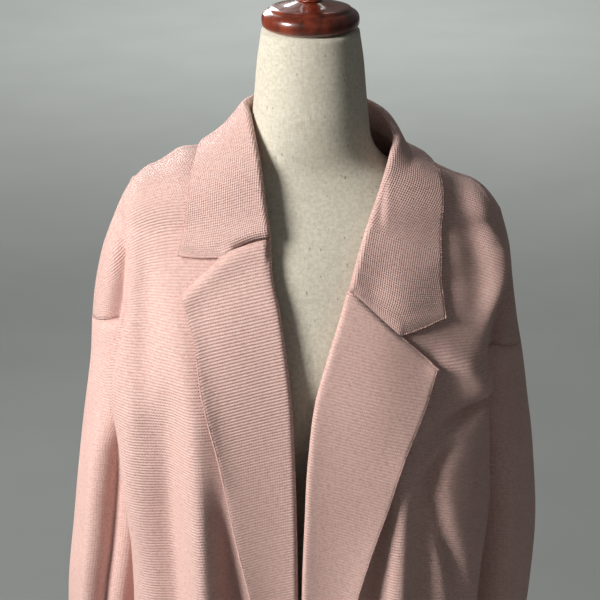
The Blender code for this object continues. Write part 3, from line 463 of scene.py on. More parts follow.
def sleeveBlocks(side, fronts, backs, halves):
    # the head of the sleeve outside the armhole, then its closed rows below
    piece = "sleeve_" + side
    arcs = []
    for i in range(levelIndex(sleeve["head"][side]), levelIndex(underarm) + 1):
        front = armRow(side, levels[i], 1)
        back = armRow(side, levels[i], -1)
        front[0] = fronts[i + capCount][-1]
        back[0] = backs[i + capCount][-1]
        arcs.append(front[:-1] + back[::-1])
    inner = halves[0][0] + halves[1][0][1:]
    loops = [arcs[-1] + inner[::-1][1:]]
    for z in fineLevels((underarm,) + sleeve["lowLevels"], cloth["levelStep"])[1:]:
        outer = armRow(side, z, 1)[:-1] + armRow(side, z, -1)[::-1]
        hidden = [armPoint(side, z, a) for a in hiddenAngles()]
        hidden[0] = outer[0]
        hidden[-1] = outer[-1]
        loops.append(outer + hidden[::-1][1:])
    return [(piece, arcs), (piece, loops)]


# the folds, listed one by one: each is a line of (x, z, half width, height)
folds = {
    "front": (
        # viewer's left: the ridge down from the shoulder, the hollow beside the arm
        ((-0.146, 1.260, 0.016, 0.000), (-0.134, 1.200, 0.017, 0.004),
         (-0.114, 1.100, 0.018, 0.011), (-0.106, 1.030, 0.018, 0.017),
         (-0.104, 0.920, 0.019, 0.020), (-0.100, 0.700, 0.020, 0.021),
         (-0.098, 0.530, 0.022, 0.022)),
        ((-0.176, 1.290, 0.010, 0.000), (-0.172, 1.240, 0.011, -0.004),
         (-0.171, 1.180, 0.012, -0.006), (-0.172, 1.110, 0.012, -0.003),
         (-0.172, 1.060, 0.012, 0.000)),
        ((-0.142, 1.130, 0.014, 0.000), (-0.152, 1.070, 0.018, -0.010),
         (-0.154, 0.980, 0.019, -0.018), (-0.148, 0.860, 0.020, -0.018),
         (-0.144, 0.700, 0.020, -0.016), (-0.142, 0.530, 0.020, -0.016)),
        ((-0.186, 1.140, 0.008, 0.000), (-0.184, 1.090, 0.010, 0.005),
         (-0.192, 1.020, 0.010, 0.003), (-0.190, 0.900, 0.012, 0.000)),
        # a deep hollow under the left lapel's edge
        ((-0.106, 1.090, 0.010, 0.000), (-0.098, 1.020, 0.012, -0.008),
         (-0.088, 0.950, 0.014, -0.018), (-0.078, 0.870, 0.017, -0.026),
         (-0.070, 0.700, 0.019, -0.030), (-0.068, 0.530, 0.020, -0.030)),
        # viewer's right: the soft valley down from the shoulder
        ((0.168, 1.345, 0.012, 0.000), (0.178, 1.310, 0.014, -0.005),
         (0.194, 1.265, 0.014, -0.008), (0.200, 1.220, 0.014, -0.007),
         (0.192, 1.175, 0.014, 0.000)),
        ((0.212, 1.262, 0.0035, 0.000), (0.219, 1.2645, 0.0035, -0.002),
         (0.227, 1.268, 0.0035, 0.000)),
        # the bulge at the armpit and the crease under it
        ((0.136, 1.150, 0.012, 0.000), (0.160, 1.146, 0.014, 0.008),
         (0.180, 1.136, 0.014, 0.013), (0.198, 1.118, 0.014, 0.013),
         (0.206, 1.104, 0.012, 0.008)),
        ((0.207, 1.094, 0.007, -0.012), (0.190, 1.088, 0.008, -0.015),
         (0.168, 1.080, 0.011, -0.010), (0.148, 1.066, 0.012, -0.006),
         (0.132, 1.050, 0.012, 0.000)),
        # the dark hollow and the slit that runs down from it
        ((0.176, 1.062, 0.007, 0.000), (0.162, 1.046, 0.008, -0.011),
         (0.150, 1.026, 0.009, -0.016), (0.149, 1.000, 0.008, -0.013),
         (0.158, 0.960, 0.008, -0.013), (0.172, 0.915, 0.008, -0.013),
         (0.184, 0.860, 0.009, -0.007), (0.190, 0.800, 0.010, 0.000)),
        ((0.110, 1.060, 0.013, 0.000), (0.112, 1.000, 0.013, 0.005),
         (0.113, 0.950, 0.013, 0.008), (0.112, 0.870, 0.013, 0.010),
         (0.110, 0.700, 0.015, 0.011), (0.108, 0.530, 0.016, 0.012)),
        ((0.136, 1.040, 0.012, -0.002), (0.138, 0.960, 0.014, -0.010),
         (0.140, 0.870, 0.015, -0.012), (0.146, 0.700, 0.017, -0.014),
         (0.150, 0.530, 0.018, -0.014)),
        # a hollow under the right lapel's edge
        ((0.106, 1.040, 0.010, 0.000), (0.092, 0.970, 0.011, -0.010),
         (0.078, 0.890, 0.014, -0.018), (0.068, 0.760, 0.016, -0.022),
         (0.064, 0.530, 0.018, -0.024)),
        # where the sleeves go back behind the panels
        ((-0.204, 1.300, 0.007, -0.003), (-0.199, 1.250, 0.008, -0.011),
         (-0.204, 1.200, 0.009, -0.014), (-0.216, 1.150, 0.009, -0.014),
         (-0.223, 1.100, 0.009, -0.010), (-0.220, 1.050, 0.009, 0.000)),
        ((0.244, 1.240, 0.007, -0.004), (0.239, 1.215, 0.008, -0.010),
         (0.228, 1.190, 0.008, -0.011), (0.220, 1.165, 0.008, -0.011),
         (0.220, 1.120, 0.008, -0.005), (0.222, 1.060, 0.009, 0.000)),
    ),
    "back": (
        ((-0.150, 1.220, 0.018, 0.000), (-0.160, 1.100, 0.018, 0.006),
         (-0.168, 0.900, 0.020, 0.011), (-0.172, 0.530, 0.022, 0.013)),
        ((-0.100, 1.160, 0.020, 0.000), (-0.110, 1.000, 0.021, -0.008),
         (-0.116, 0.800, 0.022, -0.012), (-0.120, 0.530, 0.024, -0.014)),
        ((-0.034, 1.100, 0.024, 0.000), (-0.044, 0.960, 0.024, 0.008),
         (-0.052, 0.760, 0.026, 0.013), (-0.060, 0.530, 0.028, 0.015)),
        ((0.030, 1.020, 0.018, 0.000), (0.024, 0.900, 0.020, -0.006),
         (0.020, 0.720, 0.022, -0.010), (0.026, 0.530, 0.024, -0.011)),
        ((0.086, 1.180, 0.020, 0.000), (0.094, 1.020, 0.020, 0.008),
         (0.098, 0.820, 0.022, 0.012), (0.102, 0.530, 0.024, 0.015)),
        ((0.144, 1.200, 0.015, 0.000), (0.152, 1.080, 0.016, -0.007),
         (0.158, 0.850, 0.018, -0.010), (0.160, 0.530, 0.020, -0.012)),
        ((-0.180, 1.150, 0.010, 0.000), (-0.150, 1.165, 0.011, 0.005),
         (-0.120, 1.150, 0.012, 0.004), (-0.095, 1.120, 0.013, 0.000)),
        ((0.192, 1.120, 0.010, 0.002), (0.160, 1.140, 0.011, 0.006),
         (0.128, 1.130, 0.012, 0.003), (0.104, 1.105, 0.013, 0.000)),
        ((-0.190, 1.110, 0.009, -0.004), (-0.158, 1.128, 0.009, -0.004),
         (-0.128, 1.112, 0.010, 0.000)),
    ),
    "facing": 0.35,          # how squarely the cloth faces front or back to take a fold
}


def foldField(lines, xs, zs):
    # height of the folds at many places at once
    total = np.zeros(len(xs))
    for line in lines:
        line = np.array(line)
        nearest = np.full(len(xs), 1e9)
        height = np.zeros(len(xs))
        for a, b in zip(line, line[1:]):
            run = b[:2] - a[:2]
            t = ((xs - a[0]) * run[0] + (zs - a[1]) * run[1]) / (run @ run)
            t = np.clip(t, 0.0, 1.0)
            gap = np.hypot(xs - a[0] - run[0] * t, zs - a[1] - run[1] * t)
            width = a[2] + (b[2] - a[2]) * t
            tall = a[3] + (b[3] - a[3]) * t
            closer = gap / width < nearest
            nearest = np.where(closer, gap / width, nearest)
            height = np.where(closer, tall, height)
        total += height * np.exp(-nearest ** 2)
    return total


def eased(values, low, high):
    t = np.clip((values - low) / (high - low), 0.0, 1.0)
    return t * t * (3 - 2 * t)


def sleeveFolds(side, points, middle):
    # long soft hollows of the empty sleeve
    total = np.zeros(len(points))
    turn = np.degrees(np.arctan2(-points[:, 1], np.abs(points[:, 0]) - middle))
    for angle, spread, depth, high in sleeve["creases"][side]:
        gap = (turn - angle + 180) % 360 - 180
        along = eased(high - points[:, 2], 0.0, sleeve["creaseFade"])
        total += depth * along * np.exp(-(gap / spread) ** 2)
    return total


def blockNormals(rows):
    # a grid of points and the way each faces
    grid = np.array(rows)
    normals = np.cross(np.gradient(grid, axis=1), np.gradient(grid, axis=0))
    return grid, normals / np.maximum(np.linalg.norm(normals, axis=2, keepdims=True), 1e-12)


def keyOf(point):
    # points shared by two grids have the same key
    return tuple(float(c) for c in point)


def pushOut(plain, sleeves):
    # the same skin with its folds, each point moved along its own normal
    spots, ways = {}, {}
    for _, rows in plain:
        grid, normals = blockNormals(rows)
        away = grid[:, :, :2] - np.array((formX, 0.0))
        normals = normals * np.sign((normals[:, :, :2] * away).sum(axis=2))[:, :, None]
        for point, normal in zip(grid.reshape(-1, 3), normals.reshape(-1, 3)):
            key = keyOf(point)
            spots[key] = point
            ways[key] = ways.get(key, 0.0) + normal
    where = np.array(list(spots.values()))
    out = np.array([unit(n) for n in ways.values()])
    front = foldField(folds["front"], where[:, 0], where[:, 2])
    rear = foldField(folds["back"], where[:, 0], where[:, 2])
    height = (front * eased(-out[:, 1], 0.0, folds["facing"])
              + rear * eased(out[:, 1], 0.0, folds["facing"]))
    moved = {key: point + way * rise
             for key, point, way, rise in zip(spots, where, out, height)}
    runRound, runDown = sleeve["handover"]
    spots, ways = {}, {}
    for (_, rows), side in sleeves:
        grid, normals = blockNormals(rows)
        arc = 2 * sleeve["segments"] * fine
        for row, normal in zip(grid, normals):
            z = row[0][2]
            limits = between(sleeve["columns"], sleeve[side], z)
            middle = (limits["outX"] + limits["inX"]) / 2
            away = row[:, :2] - np.array((sideSign[side] * middle, 0.0))
            normal = normal * np.sign((normal[:, :2] * away).sum(axis=1))[:, None]
            rise = sleeveFolds(side, row, middle)
            hanging = math.exp(-(max(underarm - z, 0.0) / runDown) ** 2)
            for start, lines in ((row[0], folds["front"]), (row[arc], folds["back"])):
                near = np.exp(-(np.linalg.norm(row - start, axis=1) / runRound) ** 2)
                rise = rise + foldField(lines, row[:, 0], row[:, 2]) * near * hanging
            for point, way, height in zip(row, normal, rise):
                key = keyOf(point)
                if key not in moved:
                    spots[key] = (point, height)
                    ways[key] = ways.get(key, 0.0) + way
    for key, (point, height) in spots.items():
        moved[key] = point + unit(ways[key]) * height
    return [(piece, [[moved[keyOf(p)] for p in row] for row in rows])
            for piece, rows in plain + [block for block, _ in sleeves]]


lapel = {
    "turn": (3, 3),                    # segments round the fold, then to the edge
    "fall": (3, 3),
    "tightness": 1.6,                  # how squarely the cloth folds back
    "gorgeColumns": ("level", "midX", "midZ", "notchX", "notchZ", "tipX", "tipZ"),
    "gorge": {
        "left": (1.289, 0.0573, 1.2833, 0.0866, 1.2655, 0.1297, 1.2270),
        "right": (1.231, 0.0800, 1.2110, 0.1090, 1.1851, 0.1505, 1.1480),
    },
    "notchShare": 0.5,
    "notchReach": 0.06,                # shares of the lapel's height that the notch
    "tipReach": 0.018,                 # and the tip's straight top edge run on
    "edgeColumns": ("z", "edgeX"),
    "left": (
        (1.227, 0.1297), (1.185, 0.1165), (1.129, 0.1077), (1.050, 0.0895),
        (0.950, 0.0710), (0.877, 0.0557), (0.750, 0.0360), (0.620, 0.0220),
        (0.530, 0.0200),
    ),
    "right": (
        (1.148, 0.1505), (1.115, 0.1405), (1.045, 0.1133), (0.998, 0.0992),
        (0.943, 0.0816), (0.877, 0.0636), (0.750, 0.0390), (0.620, 0.0220),
        (0.530, 0.0200),
    ),
    "edgeLift": {"left": 0.0030, "right": 0.0056},   # the outer edge stands off a little
    "proud": {"left": 0.0042, "right": 0.0},         # the top edge over the collar
    "proudBand": (0.006, 0.016, 0.003),   # where it is highest, its width, its start
}

collar = {
    "columns": ("share", "rollX", "rollY", "rollZ", "edgeX", "edgeY", "edgeZ", "swell"),
    "gorgeReach": 0.05,                # how far the bend of the gorge runs on
    "settlePasses": 5,
    "smoothing": 3,
    "endCurl": 0.0012,                 # the notch edges bow and lift a little
    "endLift": 0.002,
    "rows": (
        (0.00, -0.0325, -0.100, 1.289, -0.1390, -0.104, 1.2725, 0.003),
        (0.10, -0.0385, -0.080, 1.325, -0.1284, -0.088, 1.3050, 0.003),
        (0.17, -0.0440, -0.060, 1.362, -0.1215, -0.062, 1.3360, 0.002),
        (0.25, -0.0540, -0.022, 1.402, -0.1150, -0.026, 1.3590, 0.000),
        (0.33, -0.0570, 0.020, 1.409, -0.1050, 0.030, 1.3600, -0.004),
        (0.40, -0.0330, 0.058, 1.411, -0.0620, 0.088, 1.3450, -0.003),
        (0.46, 0.0120, 0.074, 1.411, 0.0120, 0.104, 1.3380, 0.000),
        (0.52, 0.0550, 0.062, 1.408, 0.0840, 0.088, 1.3400, -0.003),
        (0.58, 0.0880, 0.036, 1.397, 0.1240, 0.050, 1.3480, -0.007),
        (0.64, 0.1040, 0.002, 1.379, 0.1490, 0.002, 1.3460, -0.008),
        (0.72, 0.0990, -0.034, 1.361, 0.1560, -0.036, 1.3360, -0.003),
        (0.80, 0.0870, -0.066, 1.331, 0.1565, -0.066, 1.3060, 0.001),
        (0.88, 0.0720, -0.087, 1.292, 0.1570, -0.090, 1.2680, 0.003),
        (1.00, 0.0529, -0.118, 1.231, 0.1644, -0.114, 1.2021, 0.003),
    ),
}
turnCount = sum(lapel["turn"]) * fine
fallCount = sum(lapel["fall"]) * fine
halfFall = lapel["fall"][0] * fine


class Rest:
    # the panels' middle surface, on which lapels and collar lie

    def __init__(self, grids):
        points, faces = [], []
        for _, rows in grids:
            start = len(points)
            wide = len(rows[0])
            points += [Vector(p) for row in rows for p in row]
            for i in range(len(rows) - 1):
                for j in range(wide - 1):
                    a = start + i * wide + j
                    faces.append((a, a + 1, a + 1 + wide, a + wide))
        self.tree = BVHTree.FromPolygons(points, faces)

    def depthAt(self, x, z, lift):
        # the y that is a lift in front of the cloth
        ahead = Vector((x, -cloth["farAway"], z))
        hit, normal, _, _ = self.tree.ray_cast(ahead, Vector((0, 1, 0)))
        if hit is None:
            return cloth["farAway"]
        return hit.y - lift / max(abs(normal.y), cloth["leastFacing"])

    def above(self, point):
        # how far a point stands off the cloth, less than nothing when it is inside
        near, normal, _, _ = self.tree.find_nearest(Vector(point))
        near = np.array(near)
        normal = np.array(normal)
        middle = np.array((formX, 0.0, near[2] - 0.06))
        if np.dot(normal, near - middle) < 0:
            normal = -normal
        way = np.array(point) - near
        if np.dot(way, normal) < 0:
            return -np.linalg.norm(way), normal
        return np.linalg.norm(way), normal

    def clear(self, point, lift, settle=False):
        # the point moved out where it is too close, or laid right on when it settles
        height, normal = self.above(point)
        if height < lift or settle:
            return np.array(point) + normal * (lift - height)
        return np.array(point)


class Bridge:
    # what a lapel lies on: ridges lift it, but it spans the hollows

    def __init__(self, plain, folded):
        self.plain = plain
        self.folded = folded

    def inFront(self, x, z, lift):
        y = min(self.plain.depthAt(x, z, lift), self.folded.depthAt(x, z, lift))
        return np.array((x, y, z))


def turned(base, roll, out, over):
    # cloth folding back: out from the base, round the roll and over
    tight = lapel["tightness"] * rollRadius
    inner = roll - out * rollRadius - over * rollRadius
    top = roll - out * rollRadius + over * rollRadius
    first, second = finer(lapel["turn"])
    points = [base]
    points += hermite(base, roll, (inner - base) + out * tight, over * tight, first)
    points += hermite(roll, top, over * tight, -out * tight, second)
    return points


def gorgeLine(topX, topZ, gorge):
    # the seam between lapel and collar, down to the notch
    line = [(topX, topZ, 0), (gorge["midX"], gorge["midZ"], 0),
            (gorge["notchX"], gorge["notchZ"], 0)]
    count = halfFall
    return [p[:2] for p in atShares(through(line, (4, 4)), np.arange(1, count) / count)]


def lapelGrid(side, rest, edges):
    # rows from the front's edge round the fold and over the panel to the lapel's edge
    gorge = dict(zip(lapel["gorgeColumns"], lapel["gorge"][side]))
    sign = sideSign[side]
    out = np.array((-sign, 0.0, 0.0))
    over = np.array((0.0, -1.0, 0.0))
    start = levelIndex(gorge["level"])
    wanted = np.array((gorge["notchX"], gorge["notchZ"]))
    rows = []
    for i in range(start, len(levels)):
        z = levels[i]
        base = edges[i]
        roll = base + out * rollRadius + over * rollRadius
        turn = turned(base, roll, out, over)
        down = (gorge["level"] - z) / (gorge["level"] - hemLevel)
        edgeZ = gorge["tipZ"] + (hemLevel - gorge["tipZ"]) * down
        edgeX = between(lapel["edgeColumns"], lapel[side], edgeZ)["edgeX"]
        topX = abs(turn[-1][0])
        notch = math.exp(-down / lapel["notchReach"])
        straight = np.array((topX + (edgeX - topX) * lapel["notchShare"],
                             z + (edgeZ - z) * lapel["notchShare"]))
        if i == start:
            first = straight
            bent = ([np.array((topX, z))] + gorgeLine(topX, z, gorge) + [wanted])
            tip = np.array((edgeX, edgeZ))
            bent += [wanted + (tip - wanted) * k / halfFall for k in range(1, halfFall + 1)]
            plainRow = through([(topX, z, 0), (*wanted, 0), (*tip, 0)], finer(lapel["fall"]))
            bend = [b - p[:2] for b, p in zip(bent, plainRow)]
        middle = straight + (wanted - first) * notch
        flat = through([(topX, z, 0), (*middle, 0), (edgeX, edgeZ, 0)],
                       finer(lapel["fall"]))
        sharp = math.exp(-down / lapel["tipReach"])
        top = []
        for k in range(1, fallCount + 1):
            place = flat[k][:2] + bend[k] * sharp
            share = k / fallCount
            lift = cloth["restLift"] + (2 * rollRadius - cloth["restLift"]) * (1 - share) ** 2
            lift += lapel["edgeLift"][side] * share ** 4
            top.append(rest.inFront(sign * place[0], place[1], lift))
        rows.append(turn + top)
    return rows


def proudLapel(side, rows):
    # near the gorge the lapel's top layer stands over the collar's edge
    height = lapel["proud"][side]
    if height == 0.0:
        return rows
    highest, width, start = lapel["proudBand"]
    grid = np.array(rows)
    top = grid[0, turnCount:]
    for i in range(1, len(grid)):
        gap = np.linalg.norm(grid[i, turnCount:] - top, axis=1)
        begun = 1 - np.exp(-(gap / start) ** 2)
        grid[i, turnCount:, 1] -= height * np.exp(-((gap - highest) / width) ** 2) * begun
    return [list(row) for row in grid]


def settled(rows, rest, first):
    # the collar eased up wherever it would sink into what it lies on
    grid = np.array(rows)
    lift = cloth["restLift"]
    for _ in range(collar["settlePasses"]):
        middles = (grid[:-1, :-1] + grid[1:, :-1] + grid[:-1, 1:] + grid[1:, 1:]) / 4
        pushed = np.zeros_like(grid)
        for i in range(len(grid) - 1):
            for j in range(first, grid.shape[1] - 1):
                height, normal = rest.above(middles[i, j])
                if height < lift:
                    for c in ((i, j), (i, j + 1), (i + 1, j), (i + 1, j + 1)):
                        pushed[c] = normal * (lift - height)
        pushed[0] = pushed[-1] = 0.0
        for _ in range(collar["smoothing"]):
            pushed[1:-1, 1:-1] = (pushed[1:-1, 1:-1] * 2 + pushed[:-2, 1:-1]
                                  + pushed[2:, 1:-1] + pushed[1:-1, :-2]
                                  + pushed[1:-1, 2:]) / 6
        grid[:, first:] += pushed[:, first:]
    return [list(row) for row in grid]


def collarGrid(neckline, rest, bridge, lapels):
    # a row for each point of the neckline: up the stand, over and down the fall
    shares = lengths(neckline)
    stations = [between(collar["columns"], collar["rows"], s) for s in shares]
    rolls = [np.array([s["roll" + a] for a in "XYZ"]) for s in stations]
    edges = [rest.clear([s["edge" + a] for a in "XYZ"], cloth["restLift"], settle=True)
             for s in stations]
    last = len(stations) - 1
    ends = {}
    for side, index in (("left", 0), ("right", last)):
        shared = lapels[side][0][:turnCount + halfFall + 1]
        notch, tip = shared[-1], edges[index]
        tail = []
        for k in range(1, halfFall + 1):
            place = notch + (tip - notch) * k / halfFall
            curl = collar["endCurl"] * math.sin(math.pi * k / halfFall)
            lift = cloth["restLift"] + collar["endLift"] * (k / halfFall) ** 2
            tail.append(bridge.inFront(place[0], place[2] - curl, lift))
        ends[index] = shared + tail
        rolls[index] = shared[lapel["turn"][0] * fine]
    straights = {index: through([end[turnCount], (end[turnCount] + edges[index]) / 2,
                                 edges[index]], finer(lapel["fall"]))
                 for index, end in ends.items()}
    rows = []
    for i, (base, roll, edge, station) in enumerate(zip(neckline, rolls, edges, stations)):
        if i in ends:
            rows.append(ends[i])
            continue
        along = unit(rolls[i + 1] - rolls[i - 1])
        out = roll - edge
        out = unit(out - along * np.dot(out, along))
        over = np.cross(along, out)
        if np.dot(over, roll - np.array((formX, 0.0, roll[2]))) < 0:
            over = -over
        turn = turned(base, roll, out, over)
        top = turn[-1]
        middle = (top + edge) / 2 + over * station["swell"]
        fall = through([top, middle, edge], finer(lapel["fall"]),
                       before=top + out * rollRadius * 2)
        row = turn[:-1] + [top]
        for k, point in enumerate(fall[1:], 1):
            lift = cloth["restLift"] + collar["endLift"] * (1 - k / fallCount)
            row.append(rest.clear(point, lift))
        for index in ends:
            near = math.exp(-abs(shares[i] - shares[index]) / collar["gorgeReach"])
            for k in range(1, fallCount):
                bend = ends[index][turnCount + k] - straights[index][k]
                bend[1] = 0.0
                row[turnCount + k] = row[turnCount + k] + bend * near
        rows.append(row)
    return settled(rows, rest, turnCount)


def weld(grids):
    # the grids as one mesh, with a direction for the wall at each point
    index, points, faces, owners = {}, [], [], []

    def number(point):
        key = keyOf(point)
        if key not in index:
            index[key] = len(points)
            points.append(point)
        return index[key]

    for piece, rows in grids:
        table = [[number(p) for p in row] for row in rows]
        for upper, lower in zip(table, table[1:]):
            for j in range(len(upper) - 1):
                face = []
                for corner in (upper[j], lower[j], lower[j + 1], upper[j + 1]):
                    if corner not in face:
                        face.append(corner)
                if len(face) > 2:
                    faces.append(face)
                    owners.append(piece)
    mesh = bmesh.new()
    verts = [mesh.verts.new(p) for p in points]
    made = [mesh.faces.new([verts[k] for k in face]) for face in faces]
    bmesh.ops.recalc_face_normals(mesh, faces=made)
    mesh.normal_update()
    mesh.verts.index_update()
    faces = [[v.index for v in face.verts] for face in made]
    normals = []
    for vert in verts:
        spread = np.mean([abs(vert.normal.dot(face.normal)) for face in vert.link_faces])
        normals.append(np.array(vert.normal) / max(spread, cloth["leastSpread"]))
    mesh.free()
    return points, faces, owners, normals


weave = {
    "shoulderTilt": 0.8,     # how far the rows slope down over the dropped shoulder
    "tiltStart": -0.035,     # metres before the armhole line
    "tiltBend": 0.02,
    "tiltHeights": (1.10, 1.24),
    "lapelTilt": 0.22,
}


def weaveCoordinates(blocks):
    # each block is piece, rows, kind, side; rows of one side's blocks share a start
    found = []
    start = {}
    for piece, rows, kind, side in blocks:
        grid = np.array(rows)
        across = np.linalg.norm(np.diff(grid, axis=1), axis=2)
        u = np.concatenate([np.zeros((len(grid), 1)), np.cumsum(across, axis=1)], axis=1)
        down = np.linalg.norm(np.diff(grid, axis=0), axis=2)
        fall = np.concatenate([np.zeros((1, grid.shape[1])), np.cumsum(down, axis=0)])
        v = grid[:, :, 2].copy()
        if kind in ("panel", "arm"):
            for i in range(capCount):
                v[i] = v[capCount] + fall[capCount] - fall[i]
            if kind == "panel":
                start[piece, side] = u[:, -1]
                beyond = u - u[:, -1:]
            else:
                beyond = u
                u = u + start[piece, side][:len(grid), None]
            bend = weave["tiltBend"]
            slope = bend * np.log1p(np.exp((beyond - weave["tiltStart"]) / bend))
            high = eased(grid[:, :, 2], *weave["tiltHeights"])
            v = v + slope * weave["shoulderTilt"] * high
        elif kind == "side":
            offset = start[piece, side][-len(grid):, None]
            if piece == "back":
                u = u[:, -1:] - u
            u = u + offset
        elif kind == "lapel":
            v = v + weave["lapelTilt"] * (u - u[:, turnCount:turnCount + 1])
        elif kind == "collar":
            v = np.repeat(fall[:, turnCount + halfFall:turnCount + halfFall + 1],
                          grid.shape[1], axis=1)
        if piece == "back" and side == "left":
            u = -u
        found.append(np.stack([u, v], axis=2))
    return found


def cutPieces(blocks, coordinates):
    # every piece of the welded skin with its wall, rounded rims and weave coordinates
    points, faces, owners, normals = weld([block[:2] for block in blocks])
    points = np.array(points)
    normals = np.array(normals)
    index = {keyOf(p): i for i, p in enumerate(points)}
    weaveAt = {}
    for (piece, rows, _, _), places in zip(blocks, coordinates):
        table = [[index[keyOf(p)] for p in row] for row in rows]
        for i in range(len(rows) - 1):
            for j in range(len(rows[0]) - 1):
                corners = [(i, j), (i + 1, j), (i + 1, j + 1), (i, j + 1)]
                named = {table[a][b]: places[a, b] for a, b in corners}
                weaveAt[piece, frozenset(named)] = named
    made = {}
    for piece in dict.fromkeys(owners):
        own = [face for face, owner in zip(faces, owners) if owner == piece]
        seams = {frozenset(edge) for face, owner in zip(faces, owners)
                 if owner != piece for edge in zip(face, face[1:] + face[:1])}
        made[piece] = cutPiece(piece, own, seams, points, normals, weaveAt)
    return made


def cutPiece(piece, own, seams, points, normals, weaveAt):
    # outer and inner faces, joined over a middle line along every edge
    wall = cloth["wall"]
    counted = {}
    for face in own:
        for edge in zip(face, face[1:] + face[:1]):
            counted.setdefault(frozenset(edge), []).append((edge, face))
    rims = {edge: seen[0] for edge, seen in counted.items() if len(seen) == 1}
    inward, onSeam = {}, set()
    for edge, ((a, b), face) in rims.items():
        along = unit(points[b] - points[a])
        way = points[list(face)].mean(axis=0) - points[a]
        way = unit(way - along * np.dot(way, along))
        for k in (a, b):
            inward.setdefault(k, []).append(way)
        if edge in seams:
            onSeam |= {a, b}
    used = sorted({k for face in own for k in face})
    place = {k: i for i, k in enumerate(used)}
    outer, inner, middle = [], [], {}
    for k in used:
        point = points[k]
        normal = normals[k]
        if k in inward:
            back = sum(inward[k])
            flat = unit(normal)
            back = unit(back - flat * np.dot(back, flat))
            spread = max(np.mean([np.dot(back, way) for way in inward[k]]), 0.5)
            if k in onSeam:
                point = point + back * cloth["seamGap"] / spread
                middle[k] = point
            else:
                inset = back * wall * cloth["rimInset"]
                point = point + inset / spread
                middle[k] = point - inset
                normal = normal * cloth["rimTaper"]
        outer.append(point + normal * wall / 2)
        inner.append(point - normal * wall / 2)
    count = len(used)
    rimPlace = {k: 2 * count + i for i, k in enumerate(middle)}
    verts = outer + inner + list(middle.values())
    shell, weaves = [], []
    for face in own:
        named = weaveAt[piece, frozenset(face)]
        corners = [place[k] for k in face]
        shell.append(corners)
        weaves.append([named[k] for k in face])
        shell.append([count + c for c in reversed(corners)])
        weaves.append([named[k] for k in reversed(face)])
    for (a, b), face in rims.values():
        named = weaveAt[piece, frozenset(face)]
        across = [named[b], named[a], named[a], named[b]]
        shell.append([place[b], place[a], rimPlace[a], rimPlace[b]])
        weaves.append(across)
        shell.append([rimPlace[b], rimPlace[a], count + place[a], count + place[b]])
        weaves.append(across)
    return verts, shell, weaves


formShape = {
    "columns": ("z", "half", "front", "back"),
    "squareness": 2.1,
    "around": 128,
    "step": 0.006,
    "rows": (
        (1.4955, 0.0540, 0.0530, 0.0530),
        (1.4610, 0.0590, 0.0570, 0.0570),
        (1.4300, 0.0617, 0.0590, 0.0600),
        (1.4060, 0.0640, 0.0610, 0.0625),
        (1.3920, 0.0656, 0.0600, 0.0620),
        (1.3740, 0.0682, 0.0590, 0.0610),
        (1.3600, 0.0750, 0.0570, 0.0600),
        (1.3470, 0.0880, 0.0560, 0.0600),
        (1.3320, 0.1140, 0.0600, 0.0620),
        (1.3150, 0.1400, 0.0670, 0.0670),
        (1.2980, 0.1590, 0.0760, 0.0730),
        (1.2780, 0.1670, 0.0870, 0.0810),
        (1.2500, 0.1680, 0.0995, 0.0890),
        (1.2100, 0.1640, 0.1125, 0.0960),
        (1.1650, 0.1590, 0.1240, 0.1000),
        (1.1200, 0.1540, 0.1310, 0.1000),
        (1.0800, 0.1490, 0.1300, 0.0970),
        (1.0300, 0.1390, 0.1180, 0.0930),
        (0.9700, 0.1250, 0.0980, 0.0870),
        (0.9300, 0.1210, 0.0930, 0.0870),
        (0.8800, 0.1290, 0.0960, 0.0950),
        (0.8300, 0.1430, 0.1020, 0.1030),
        (0.7700, 0.1530, 0.1050, 0.1090),
        (0.7300, 0.1530, 0.1020, 0.1080),
    ),
}

wood = {                               # each profile is radius and height, from the top
    "around": 128,
    "step": 0.0012,
    "mostSteps": 14,
    "neck_cap": (
        (0.0145, 1.5275), (0.0300, 1.5235), (0.0440, 1.5205), (0.0462, 1.5180),
        (0.0500, 1.5160), (0.0530, 1.5125), (0.0540, 1.5070), (0.0530, 1.5015),
        (0.0505, 1.4985), (0.0470, 1.4970),
    ),
    "cap_knob": (
        (0.0050, 1.5750), (0.0120, 1.5735), (0.0170, 1.5670), (0.0190, 1.5590),
        (0.0175, 1.5510), (0.0120, 1.5440), (0.0085, 1.5380), (0.0100, 1.5320),
        (0.0135, 1.5285),
    ),
    "stand_pole": (
        (0.0170, 0.7285), (0.0260, 0.7200), (0.0280, 0.7080), (0.0200, 0.6960),
        (0.0165, 0.6700), (0.0165, 0.6550), (0.0165, 0.1650), (0.0165, 0.1500),
        (0.0200, 0.1200), (0.0290, 0.1020), (0.0310, 0.0860), (0.0270, 0.0700),
        (0.0225, 0.0560), (0.0300, 0.0400),
    ),
    "stand_base": (
        (0.0400, 0.0380), (0.0700, 0.0370), (0.1200, 0.0320), (0.1650, 0.0270),
        (0.1820, 0.0255), (0.1900, 0.0210), (0.1930, 0.0140), (0.1910, 0.0060),
        (0.1870, 0.0000),
    ),
}


def ringMesh(rings):
    # rings of points from top to bottom, closed by a point at either end
    around = len(rings[0])
    verts = [p for ring in rings for p in ring]
    faces = []
    for i in range(len(rings) - 1):
        for k in range(around):
            a = i * around + k
            b = i * around + (k + 1) % around
            faces.append((a, a + around, b + around, b))
    for first, ring, flip in ((0, rings[0], False),
                              ((len(rings) - 1) * around, rings[-1], True)):
        verts.append(tuple(np.mean(ring, axis=0)))
        for k in range(around):
            corners = (len(verts) - 1, first + k, first + (k + 1) % around)
            faces.append(corners[::-1] if flip else corners)
    return verts, faces


